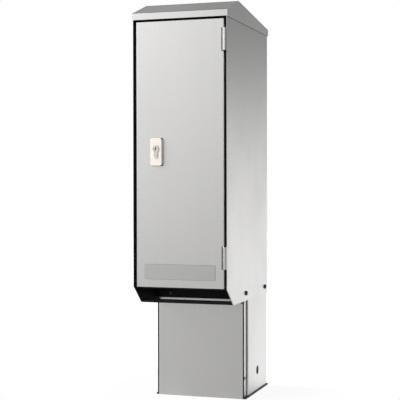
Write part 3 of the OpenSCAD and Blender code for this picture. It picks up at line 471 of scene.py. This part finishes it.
def back_of(node, x, z):
    return first_met(node, Vector((x, FAR, z)), TO_FRONT)


# Screws: a domed head with a hexagon socket, and a threaded shank

SOCKET_SHARE = 0.27
SOCKET_EDGE = 0.25 * MM
SOCKET_FLOOR, SOCKET_POINT = 0.3, 0.22
POINT_RADIUS = 0.1 * MM
PITCH_SHARE = 0.16
THREAD_SHARE = 0.09
RIM_SHARE = 0.34
CROWN_SHARE = 0.62
DOME_STEPS = 5
DOME_STEP = math.radians(15)


def screw_skin(bm, where, head_d, head_h, shank_d, shank_l):
    """A screw whose head's underside is at the origin of where, with its head along +Z."""
    r = head_d / 2
    socket = SOCKET_SHARE * head_d
    crest = shank_d / 2
    root = crest - THREAD_SHARE * shank_d
    half_turns = 2 * max(2, int(shank_l / (PITCH_SHARE * shank_d)))
    shank = [ring(root if i % 2 else crest, -shank_l + shank_l * i / half_turns) for i in range(half_turns)]
    head = [ring(crest, 0), ring(r, 0), ring(r, RIM_SHARE * head_h)]
    for step in range(1, DOME_STEPS + 1):
        reach = CROWN_SHARE + (1 - CROWN_SHARE) * math.cos(step * DOME_STEP)
        rise = RIM_SHARE + (1 - RIM_SHARE) * math.sin(step * DOME_STEP)
        head.append(ring(reach * r, rise * head_h))
    recess = [hexagon_ring(socket + SOCKET_EDGE, head_h), hexagon_ring(socket, head_h - SOCKET_EDGE),
              hexagon_ring(socket, SOCKET_FLOOR * head_h), ring(POINT_RADIUS, SOCKET_POINT * head_h)]
    skin(bm, shank + head + recess, where)


def screws(node, head_h, shank_share, outward=None):
    """Socket screws in the place of a node's screws, with heads outward or else away from the middle."""
    bm = bmesh.new()
    for low, high in islands(node):
        middle = (low + high) / 2
        direction = Vector((math.copysign(1, middle.x), 0, 0)) if outward is None else outward
        size = high - low
        length = abs(size.dot(direction))
        head_d = min(size[axis] for axis in range(3) if direction[axis] == 0)
        under = middle + direction * (length / 2 - head_h)
        screw_skin(bm, facing(direction, under), head_d, head_h, head_d * shank_share, length - head_h)
    piece = new_piece(node + "_dressed", bm)
    keep_flat(piece)
    seat(piece, node)


# The blank label plate: a thin plate with rounded corners and edges

LABEL_CORNER = 2 * MM
# Rings of the plate: inset in millimetres, and share of its thickness
LABEL_STEPS = ((0, 0), (0, 0.85), (0.03, 0.95), (0.1, 1.0))


def label_plate():
    low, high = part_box("label_plate")
    width, height, thick = high.x - low.x, high.z - low.z, high.y - low.y
    rings = []
    for inset, share in LABEL_STEPS:
        edge = inset * MM
        rings.append(plate_ring(width - 2 * edge, height - 2 * edge, LABEL_CORNER - edge, thick * share))
    bm = bmesh.new()
    skin(bm, rings, facing(TO_FRONT, on_face(low, high, high.y)))
    piece = new_piece("label_plate_dressed", bm)
    keep_flat(piece)
    seat(piece, "label_plate")


# Black rubber trims of the body and the door, laid as painted shade along dark lines, gaps and edges

SHEET = 2 * MM
TRIM_WALL = 0.5 * MM
TRIM_LAP = 7 * MM
BELOW_HOOD = 0.3 * MM
BELOW_LINING = 3 * MM
ABOVE_BASE = 1 * MM
PAD_SINK = 0.05 * MM


def trim(name, rings, body, where=Matrix()):
    """A rubber piece through rings of points."""
    bm = bmesh.new()
    skin(bm, rings, where)
    fit(name, bm, "black_rubber", body)


def side_strips(kind, width, deep, corner, x, y, bottom, top):
    """The same upright strip on the right and on the left of the cabinet."""
    for name, side in SIDES:
        rings = [plate_ring(width, deep, corner, height) for height in (bottom, top)]
        trim("%s_%s" % (name, kind), rings, "cabinet", Matrix.Translation((side * x, y, 0)))


def slant_top():
    """The height where the side panels' front edge turns back to the outlet."""
    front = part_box("cabinet_shell")[0].y + 0.5 * MM
    return min(vert.co.z for vert in frame["nodes"]["cabinet_shell"].data.vertices if vert.co.y < front)


def lock_side_shade_trim():
    """A black profile pushed onto the lock-side panel's free edge, down the front and along the slant below
    it; besides an edge trim, it is painted shade that keeps that edge and the slant into the outlet dark.
    """
    shell_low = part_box("cabinet_shell")[0]
    outlet_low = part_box("outlet_trim")[0]
    half_w = SHEET / 2 + TRIM_WALL
    half_d = (TRIM_LAP + TRIM_WALL) / 2
    top = Vector((shell_low.x + SHEET / 2, shell_low.y - TRIM_WALL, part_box("roof_hood")[0].z - BELOW_HOOD))
    bend = Vector((top.x, top.y, slant_top()))
    slant = Vector((0, outlet_low.y - shell_low.y, outlet_low.z - bend.z))
    stations = ((top, TO_BACK), (bend, Vector((0, 1, 0.28))), (bend + 0.97 * slant, Vector((0, 0.92, 0.4))))
    profile = plate_ring(2 * half_w, 2 * half_d, 0.9 * half_w, 0)
    rings = []
    for point, inward in stations:
        onto_edge = inward.normalized()
        rings.append([point + Vector((p.x, 0, 0)) + (p.y + half_d) * onto_edge for p in profile])
    trim("lock_side_edge_shade_trim", rings, "cabinet")


def hinge_barrels():
    """The box of each hinge leaf with its half of the barrel."""
    return islands("hinge_body_leaves") + islands("hinge_door_leaves")


def hinge_side_shade_trim():
    """A thin black strip on the hinge-side panel's front edge, cut away at the hinges: painted shade that
    darkens the edge beside the door gap.
    """
    shell_low, shell_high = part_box("cabinet_shell")
    clear, shortest = 1 * MM, 5 * MM
    width, deep, corner = SHEET - 0.5 * MM, 1.4 * MM, 0.5 * MM
    inset = SHEET / 2 + width / 2
    stops = [slant_top()]
    for low_z, high_z in sorted((low.z, high.z) for low, high in hinge_barrels()):
        stops += [low_z - clear, high_z + clear]
    stops.append(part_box("roof_hood")[0].z - BELOW_HOOD)
    runs = [(a, b) for a, b in zip(stops[::2], stops[1::2]) if b - a > shortest]
    where = Matrix.Translation((shell_high.x - inset, shell_low.y, 0))
    for number, run in enumerate(runs, 1):
        rings = [plate_ring(width, deep, corner, height) for height in run]
        trim("hinge_side_shade_strip_%d" % number, rings, "cabinet", where)


def hinge_shadow_pads():
    """A thin black pad between each hinge barrel and the door's face: painted shade for the dark line beside
    the barrel.
    """
    door_low, door_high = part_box("door_panel")
    past_ends, past_barrel, inside_edge = 1.2 * MM, 4.2 * MM, 0.3 * MM
    thick, corner = 0.25 * MM, 1.5 * MM
    middle_z = (door_low.z + door_high.z) / 2
    for name, upper in (("lower", False), ("upper", True)):
        boxes = [box for box in hinge_barrels() if (box[0].z > middle_z) == upper]
        left = min(low.x for low, high in boxes) - past_barrel
        bottom = min(low.z for low, high in boxes) - past_ends
        top = max(high.z for low, high in boxes) + past_ends
        low, high = Vector((left, 0, bottom)), Vector((door_high.x - inside_edge, 0, top))
        rings = [plate_ring(high.x - low.x, high.z - low.z, corner, rise, 2) for rise in (0, thick)]
        trim(name + "_hinge_shadow_pad", rings, "door", facing(TO_FRONT, on_face(low, high, door_low.y)))


def door_shadow_pad(name, node, edge, corner, y, rise):
    """A black pad between a plate and the door, which shows as a thin dark line around the plate: painted
    shadow where the plate meets the door.
    """
    low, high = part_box(node)
    width, height = high.x - low.x + 2 * edge, high.z - low.z + 2 * edge
    rings = [plate_ring(width, height, corner, level) for level in (-PAD_SINK, rise)]
    trim(name, rings, "door", facing(TO_FRONT, on_face(low, high, y)))


def escutcheon_shadow_gasket():
    """A thin black gasket around the escutcheon, whose dark line is painted shadow around the plate."""
    door_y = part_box("door_panel")[0].y
    door_shadow_pad("escutcheon_shadow_gasket", "escutcheon", 0.7 * MM, 3 * MM, door_y, 0.5 * MM)


def label_shadow_pad():
    """The black pad under the label plate: painted shadow, a thin dark line around the plate where its
    shadow gap would be.
    """
    low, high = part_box("label_plate")
    door_shadow_pad("label_shadow_pad", "label_plate", 0.35 * MM, 2.3 * MM, high.y, 0.4 * (high.y - low.y))


def hood_shadow_strips():
    """A thin black strip under each side skirt of the hood: painted shadow for the dark line under the
    skirt.
    """
    shell_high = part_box("cabinet_shell")[1]
    hood_low, hood_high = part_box("roof_hood")
    drop, gap, end_gap, corner = 0.45 * MM, 0.2 * MM, 4 * MM, 0.3 * MM
    width = hood_high.x - shell_high.x - gap
    length = hood_high.y - hood_low.y - 2 * end_gap
    side_strips("hood_shadow_strip", width, length, corner, shell_high.x + width / 2, (hood_low.y + hood_high.y) / 2,
                hood_low.z - drop, hood_low.z)


def outlet_shade_strips():
    """A black strip on each side that hangs from the outlet's lining beside the plinth: painted shade that
    keeps the recess beside the plinth dark.
    """
    lining_low, lining_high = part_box("outlet_lining")
    cover_low, cover_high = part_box("plinth_cover")
    thick, corner, drop, lap, gap = 1.5 * MM, 0.5 * MM, 7 * MM, 14 * MM, 1.2 * MM
    front, back = lining_high.y - 25 * MM, cover_low.y + 6 * MM
    side_strips("outlet_shade_strip", thick, back - front, corner, cover_high.x + gap, (front + back) / 2,
                lining_low.z - drop, lining_low.z + lap)


def cover_shade_strips():
    """A black strip down each side of the plinth's front cover, pushed over its front bend: painted shade
    for the dark line along the bend.
    """
    cover_low, cover_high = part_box("plinth_cover")
    thick, deep, corner = 3 * MM, 2.5 * MM, 0.5 * MM
    proud, setback = 2 * MM, 0.6 * MM
    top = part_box("outlet_lining")[0].z - BELOW_LINING
    side_strips("cover_shade_strip", thick, deep, corner, cover_high.x + proud - thick / 2,
                cover_low.y + setback + deep / 2, cover_low.z + ABOVE_BASE, top)


def flange_shadow_seals():
    """A thin black seal in the corner where each side flange of the cover meets the plinth: painted shadow
    for the gap line there.
    """
    cover_low, cover_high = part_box("plinth_cover")
    wide, deep, corner, sink = 1.1 * MM, 0.8 * MM, 0.3 * MM, 0.1 * MM
    bottom, top = cover_low.z + ABOVE_BASE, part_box("outlet_lining")[0].z - BELOW_LINING
    x = cover_high.x + wide / 2
    step = front_of("plinth_shell", x, (bottom + top) / 2)
    side_strips("flange_shadow_seal", wide, deep, corner, x, step.y + sink - deep / 2, bottom, top)


# Fittings of the sockets and their lids

WIDEST_CONTACT = 8 * MM
# Rings of a contact's brass sleeve and of the black disc inside it, painted shade for the bore: share of the
# radius, and rise in millimetres
SLEEVE = ((0.97, 0.0), (0.97, 1.3), (0.9, 1.6), (0.66, 1.6), (0.6, 1.4), (0.6, 0.1))
BORE_SHADE = ((0.58, 0.05), (0.58, 0.4))
# Rings of a brass ring in a pin hole, below the floor of the socket
PIN_RING = ((0.98, -6.0), (0.98, 0.0), (0.66, 0.0), (0.62, -0.3), (0.62, -5.0))
PIN_RING_SINK = 1.5 * MM
# An earth clip's bend: height over the recess's floor and distance from its wall, in millimetres
CLIP_BEND = ((0.2, 0.7), (5.5, 1.0), (9.0, 3.2), (11.0, 3.4), (14.5, 1.0))
CLIP_WIDTH, CLIP_THICK, CLIP_CORNER = 6 * MM, 0.8 * MM, 0.35 * MM
FLANGE_SCREW = {"head_d": 7 * MM, "head_h": 2.4 * MM, "shank_d": 3.6 * MM, "shank_l": 4 * MM}
FLANGE_SCREW_INSET = 6.5 * MM
ROUND_LID_LAP = 7 * MM
SQUARE_LID_LAP = 5.5 * MM
SEAL_GAP, SEAL_WALL, SEAL_EDGE = 1 * MM, 2.5 * MM, 0.5 * MM
RIDGES, RIDGE_PITCH, RIDGE_TAPER = 4, 2.6 * MM, 1.6 * MM
RIDGE_WIDTH, RIDGE_CORNER = 1.4 * MM, 0.65 * MM
# Rings of a grip ridge: inset and rise in millimetres
RIDGE_STEPS = ((0.0, 0.0), (0.0, 0.9), (0.35, 1.3))


def round_faces(node, widest):
    """The middle and radius of each round face of a node that looks to the front, up to a width."""
    to_front, fewest_corners = -0.99, 12
    bm = node_mesh(node)
    found = []
    for face in bm.faces:
        xs = [vert.co.x for vert in face.verts]
        width = max(xs) - min(xs)
        if face.normal.y < to_front and len(face.verts) > fewest_corners and width < widest:
            found.append((face.calc_center_bounds(), width / 2))
    bm.free()
    return found


def turned(bm, steps, r, at):
    """A turned form that faces the front, through rings at shares of a radius."""
    skin(bm, [ring(share * r, rise * MM) for share, rise in steps], facing(TO_FRONT, at))


def socket_sleeves(socket):
    """A brass sleeve on each contact of a round socket, with a black disc inside it as painted shade for the
    bore.
    """
    sleeves = bmesh.new()
    bore_shades = bmesh.new()
    for at, r in round_faces(socket, WIDEST_CONTACT):
        turned(sleeves, SLEEVE, r, at)
        # A black disc in each sleeve: painted shade where the bore's depth would be dark.
        turned(bore_shades, BORE_SHADE, r, at)
    fit(socket + "_sleeves", sleeves, "brass", "cabinet")
    fit(socket + "_bores", bore_shades, "black_rubber", "cabinet")


def socket_middle(socket):
    """The middle of a socket's square flange, without the ears above it."""
    low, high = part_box(socket)
    return (low.x + high.x) / 2, low.z + (high.x - low.x) / 2


def flange_screws(socket):
    """A screw in each corner of a round socket's flange."""
    low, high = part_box(socket)
    x, z = socket_middle(socket)
    reach = (high.x - low.x) / 2 - FLANGE_SCREW_INSET
    bm = bmesh.new()
    for across in (-reach, reach):
        for up in (-reach, reach):
            at = front_of(socket, x + across, z + up)
            screw_skin(bm, facing(TO_FRONT, at), **FLANGE_SCREW)
    fit(socket + "_screws", bm, "screw_steel", "cabinet")


def earth_clips(socket):
    """Two sprung earth clips on the wall of a square socket's recess, and a brass ring in each pin hole."""
    floor = front_of(socket, *socket_middle(socket))
    over_floor = floor + 5 * MM * TO_FRONT
    wall = (first_met(socket, over_floor, UP) - over_floor).length
    profile = plate_ring(CLIP_WIDTH, CLIP_THICK, CLIP_CORNER, 0, 2)
    clips = bmesh.new()
    for side in (-1, 1):
        rings = []
        for rise, inward in CLIP_BEND:
            middle = floor + Vector((0, -rise * MM, side * (wall - inward * MM)))
            rings.append([middle + Vector((p.x, 0, p.y)) for p in profile])
        skin(clips, rings)
    for at, r in round_faces(socket, WIDEST_CONTACT):
        turned(clips, PIN_RING, r, Vector((at.x, floor.y + PIN_RING_SINK, at.z)))
    fit(socket + "_clips", clips, "brass", "cabinet")


def lid_seal(lid, x, z, outer):
    """A rubber seal inside a socket's lid."""
    inner = outer - SEAL_WALL
    steps = ((outer, -0.3), (outer, 1.8), (outer - SEAL_EDGE, 2.3), (inner + SEAL_EDGE, 2.3), (inner, 1.8),
             (inner, 0.15))
    bm = bmesh.new()
    skin(bm, [ring(r, rise * MM, 48) for r, rise in steps], facing(TO_BACK, back_of(lid, x, z)))
    fit(lid + "_seal", bm, "black_rubber", BODY_OF[lid])


def lid_ridges(lid, x, z, outer):
    """Grip ridges on the front of a socket's lid, shorter towards its lower edge."""
    first_down, longest, sink = 0.62 * outer, 0.7 * outer, 0.2 * MM
    front = front_of(lid, x, z)
    bm = bmesh.new()
    for step in range(RIDGES):
        length = longest - step * RIDGE_TAPER
        rings = []
        for inset, rise in RIDGE_STEPS:
            cut = inset * MM
            width = RIDGE_WIDTH - 2 * cut
            rings.append(plate_ring(length - 2 * cut, width, RIDGE_CORNER - cut, rise * MM, 4))
        skin(bm, rings, facing(TO_FRONT, front + Vector((0, sink, -first_down - step * RIDGE_PITCH))))
    fit(lid + "_ridges", bm, SLOT_OF[lid], BODY_OF[lid])


def lid_fittings(shape, side, lap):
    """The seal and the ridges of one lid. lap is how far the lid reaches past its socket's recess."""
    lid = "%s_lid_%s" % (shape, side)
    low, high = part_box(lid)
    x, z = socket_middle("%s_socket_%s" % (shape, side))
    outer = (high.x - low.x) / 2 - lap - SEAL_GAP
    lid_seal(lid, x, z, outer)
    lid_ridges(lid, x, z, outer)


def socket_fittings():
    for side in ("left", "right"):
        socket_sleeves("round_socket_" + side)
        flange_screws("round_socket_" + side)
        earth_clips("square_socket_" + side)
        lid_fittings("round", side, ROUND_LID_LAP)
        lid_fittings("square", side, SQUARE_LID_LAP)


# Pieces that keep their node's shape, with the radius of their edges in millimetres

ESCUTCHEON_ROUND = 2.2
HOOD_BEND = 2.4
EDGE_RADII = {
    0.1: ("hinge_washers",),
    0.25: ("hinge_body_leaves", "hinge_door_leaves", "hinge_pins", "lock_plug", "lock_cylinder", "lid_pins",
           "test_button"),
    0.4: ("cabinet_shell", "plinth_shell", "plinth_cover", "door_frame", "rod_keepers", "panel_rails",
          "gland_plate", "rear_plate", "door_stiffener", "lock_case", "rod_guides", "inner_panel",
          "mounting_rail", "rail_brackets", "outlet_bar", "outlet_lining", "hood_nuts", "body_nuts",
          "lock_wheel"),
    0.5: ("door_panel", "base_plate", "upper_rod", "lower_rod", "earth_bar", "side_plugs"),
    0.6: ("cable_gland", "outlet_trim", "door_seal", "terminal_block", "residual_switch", "breakers",
          "switch_toggle", "breaker_toggle_left", "breaker_toggle_right", "breaker_window"),
    0.9: ("round_socket_left", "round_socket_right", "square_socket_left", "square_socket_right",
          "round_lid_left", "round_lid_right", "square_lid_left", "square_lid_right", "window_bezel"),
}


def escutcheon_softness(point):
    """The escutcheon's outer front edge is well rounded, and the lock's cut-out is crisp."""
    low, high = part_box("escutcheon")
    half_width, half_height, front, crisp = 10 * MM, 31 * MM, 0.5 * MM, 0.15
    from_middle = point - (low + high) / 2
    outside = abs(from_middle.x) > half_width or abs(from_middle.z) > half_height
    return 1.0 if outside and point.y < low.y + front else crisp


def hood_softness(point):
    """The hood's front fold is a wide bend, and its other edges are crisp."""
    low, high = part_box("roof_hood")
    front, skirt, ends, crisp = 0.3 * MM, 10 * MM, 20 * MM, 0.08
    on_fold = point.y < low.y + front and point.z > low.z + skirt and abs(point.x) < high.x - ends
    return 1.0 if on_fold else crisp


def dress_all():
    for radius, nodes in EDGE_RADII.items():
        for node in nodes:
            dress(node, radius)
    dress("escutcheon", ESCUTCHEON_ROUND, escutcheon_softness)
    dress("roof_hood", HOOD_BEND, hood_softness)
    label_plate()
    # Black strips and pads, painted shade along dark lines, gaps and edges
    lock_side_shade_trim()
    hinge_side_shade_trim()
    hinge_shadow_pads()
    escutcheon_shadow_gasket()
    hood_shadow_strips()
    outlet_shade_strips()
    cover_shade_strips()
    flange_shadow_seals()
    label_shadow_pad()
    socket_fittings()
    screws("body_screws", head_h=4.0 * MM, shank_share=0.48)
    screws("cover_screws", head_h=2.6 * MM, shank_share=0.55)
    screws("panel_screws", head_h=3.0 * MM, shank_share=0.5, outward=TO_FRONT)
    screws("escutcheon_screws", head_h=2.4 * MM, shank_share=0.5, outward=TO_BACK)


dress_all()


# Studio

WHITE = (1.0, 1.0, 1.0, 1.0)
BLACK = (0.0, 0.0, 0.0, 1.0)
# Levels around the object as its metal shows them, by height from 0, straight down, to 1, straight up
BACK_LEVELS = ((0.495, 1.12), (0.57, 0.2), (0.7, 0.38), (0.78, 0.4), (0.88, 0.19))
FRONT_LEVELS = ((0.46, 0.8), (0.53, 0.9), (0.6, 0.98), (0.74, 0.9), (0.86, 0.2))
# Soft boxes at the front: where each begins and ends from left to right, and its level there
LEFT_BOX = (-0.47, -0.1, 1.45, 0.4)
RIGHT_BOX = (0.0, 0.3, 0.0, 0.65)
FRONT_TO_BACK = (-0.2, 0.3)
# Black flags: how far to each side they begin and are full, their slight turn, and where they end upwards
RIGHT_FLAG = (0.84, 0.95)
LEFT_FLAG = (-0.72, -0.86)
FLAG_TURN_X, FLAG_TURN_Y = 0.996, -0.087
FLAG_DARKNESS = 0.93
FLAG_TOP = (0.6, 0.35)
# The floor as metal shows it, and how far from the object its flags begin and its shadow ends, in metres
FLOOR_SIZE = 9.0
FLOOR_FRONT = (-0.47, -0.1, 0.59, 0.5)
FLOOR_BACK_LEVEL = 1.15
FLOOR_FRONT_TO_BACK = (-0.15, 0.2)
FLOOR_FLAGS = (0.2, 0.5)
FLOOR_SHADOW = (0.15, 0.4, 0.93, 1.0)


def studio_world():
    """White behind the object. Its metal shows a soft box at the front left, bright low surroundings,
    a darker upper back and ceiling, and a dark flag on each side."""
    world = bpy.data.worlds.new("studio")
    bpy.context.scene.world = world
    world.use_nodes = True
    tree = world.node_tree
    tree.nodes.clear()
    toward = place(tree, "ShaderNodeTexCoord").outputs["Generated"]
    x, y, z = place(tree, "ShaderNodeSeparateXYZ", {0: toward}).outputs
    height = maths(tree, "MULTIPLY_ADD", z, 0.5, 0.5)
    back = level_ramp(tree, height, BACK_LEVELS)
    front = level_ramp(tree, height, FRONT_LEVELS)
    boxes = maths(tree, "ADD", ranged(tree, x, *LEFT_BOX), ranged(tree, x, *RIGHT_BOX))
    lit = place(tree, "ShaderNodeVectorMath", {0: front, 1: boxes}, operation="MULTIPLY").outputs[0]
    level = mixed(tree, ranged(tree, y, *FRONT_TO_BACK), lit, back)
    flag = maths(tree, "MULTIPLY", side_flag(tree, x, y), ranged(tree, z, *FLAG_TOP))
    flagged = mixed(tree, flag, level, BLACK)
    path = place(tree, "ShaderNodeLightPath").outputs
    seen = maths(tree, "MAXIMUM", path["Is Camera Ray"], path["Is Transmission Ray"])
    sky = place(tree, "ShaderNodeBackground", {"Color": mixed(tree, seen, flagged, WHITE), "Strength": 1.0})
    output = tree.nodes.new("ShaderNodeOutputWorld")
    tree.links.new(sky.outputs[0], output.inputs["Surface"])


def side_flag(tree, x, y):
    """How dark a direction or a place on the floor is, because a black flag stands on each side."""
    square = maths(tree, "ADD", maths(tree, "MULTIPLY", x, x), maths(tree, "MULTIPLY", y, y))
    along = maths(tree, "MULTIPLY_ADD", y, FLAG_TURN_Y, maths(tree, "MULTIPLY", x, FLAG_TURN_X))
    across = maths(tree, "DIVIDE", along, maths(tree, "SQRT", square))
    right = ranged(tree, across, *RIGHT_FLAG, 0.0, FLAG_DARKNESS)
    left = ranged(tree, across, *LEFT_FLAG, 0.0, FLAG_DARKNESS)
    return maths(tree, "MAXIMUM", right, left)


def level_ramp(tree, value, stops):
    """A brightness that follows a value through some stops."""
    node = place(tree, "ShaderNodeValToRGB", {"Fac": value})
    marks = node.color_ramp.elements
    for _ in stops[2:]:
        marks.new(0.5)
    for mark, (position, level) in zip(marks, stops):
        mark.position = position
        mark.color = (level, level, level, 1.0)
    return node.outputs[0]


def studio_floor():
    """A white floor that keeps the object's shadow near it and fades to plain white."""
    bm = bmesh.new()
    bmesh.ops.create_grid(bm, x_segments=8, y_segments=8, size=FLOOR_SIZE)
    floor = new_piece("studio_floor", bm)
    material, tree, sockets = new_finish("floor_white")
    set_sockets(tree, sockets, {"Base Color": (0.9, 0.9, 0.9, 1.0), "Roughness": 0.9})
    where = place(tree, "ShaderNodeTexCoord").outputs["Object"]
    x, y = place(tree, "ShaderNodeSeparateXYZ", {0: where}).outputs[:2]
    distance = place(tree, "ShaderNodeVectorMath", {0: where}, operation="LENGTH").outputs["Value"]
    flag = maths(tree, "MULTIPLY", side_flag(tree, x, y), ranged(tree, distance, *FLOOR_FLAGS))
    unflagged = maths(tree, "SUBTRACT", 1.0, flag)
    front = ranged(tree, maths(tree, "DIVIDE", x, distance), *FLOOR_FRONT)
    behind = ranged(tree, y, *FLOOR_FRONT_TO_BACK)
    before = maths(tree, "MULTIPLY", maths(tree, "SUBTRACT", 1.0, behind), front)
    level = maths(tree, "ADD", maths(tree, "MULTIPLY", behind, FLOOR_BACK_LEVEL), before)
    reflected = maths(tree, "MULTIPLY", level, unflagged)
    path = place(tree, "ShaderNodeLightPath").outputs
    glow = maths(tree, "MAXIMUM", path["Is Camera Ray"], reflected)
    white = place(tree, "ShaderNodeEmission", {"Strength": glow})
    mirrored = maths(tree, "MAXIMUM", path["Is Glossy Ray"], path["Is Transmission Ray"])
    seen = maths(tree, "MAXIMUM", path["Is Camera Ray"], mirrored)
    share = maths(tree, "MULTIPLY", seen, ranged(tree, distance, *FLOOR_SHADOW))
    plain = tree.nodes["Principled BSDF"].outputs[0]
    surface = place(tree, "ShaderNodeMixShader", {0: share, 1: plain, 2: white.outputs[0]})
    tree.links.new(surface.outputs[0], tree.nodes["Material Output"].inputs["Surface"])
    floor.data.materials.append(material)


def studio_lamp(name, at, toward, size, power):
    """A soft square lamp."""
    light = bpy.data.lights.new(name, "AREA")
    light.size = size
    light.energy = power
    lamp = bpy.data.objects.new(name, light)
    lamp.matrix_world = facing(at - toward, at)
    bpy.context.scene.collection.objects.link(lamp)


# The photograph's viewpoint

CAMERA_AT = (0.9062, -2.8732, 0.5674)
CAMERA_TURN = math.radians(18.207)
CAMERA_DIP = math.radians(0.806)
CAMERA_ROLL = math.radians(-0.082)
CAMERA_LENS = 97.87
CAMERA_SENSOR = 36.0


def photograph_camera():
    data = bpy.data.cameras.new("camera")
    data.lens = CAMERA_LENS
    data.sensor_width = CAMERA_SENSOR
    camera = bpy.data.objects.new("camera", data)
    camera.location = CAMERA_AT
    camera.rotation_euler = (math.pi / 2 - CAMERA_DIP, 0.0, CAMERA_TURN)
    camera.rotation_euler.rotate_axis("Z", CAMERA_ROLL)
    bpy.context.scene.collection.objects.link(camera)
    bpy.context.scene.camera = camera


studio_world()
studio_floor()
studio_lamp("key_lamp", at=Vector((-2.5, -1.6, 2.6)), toward=Vector((0.0, 0.0, 0.6)), size=1.4, power=110.0)
photograph_camera()
bpy.context.scene.view_settings.view_transform = "Standard"
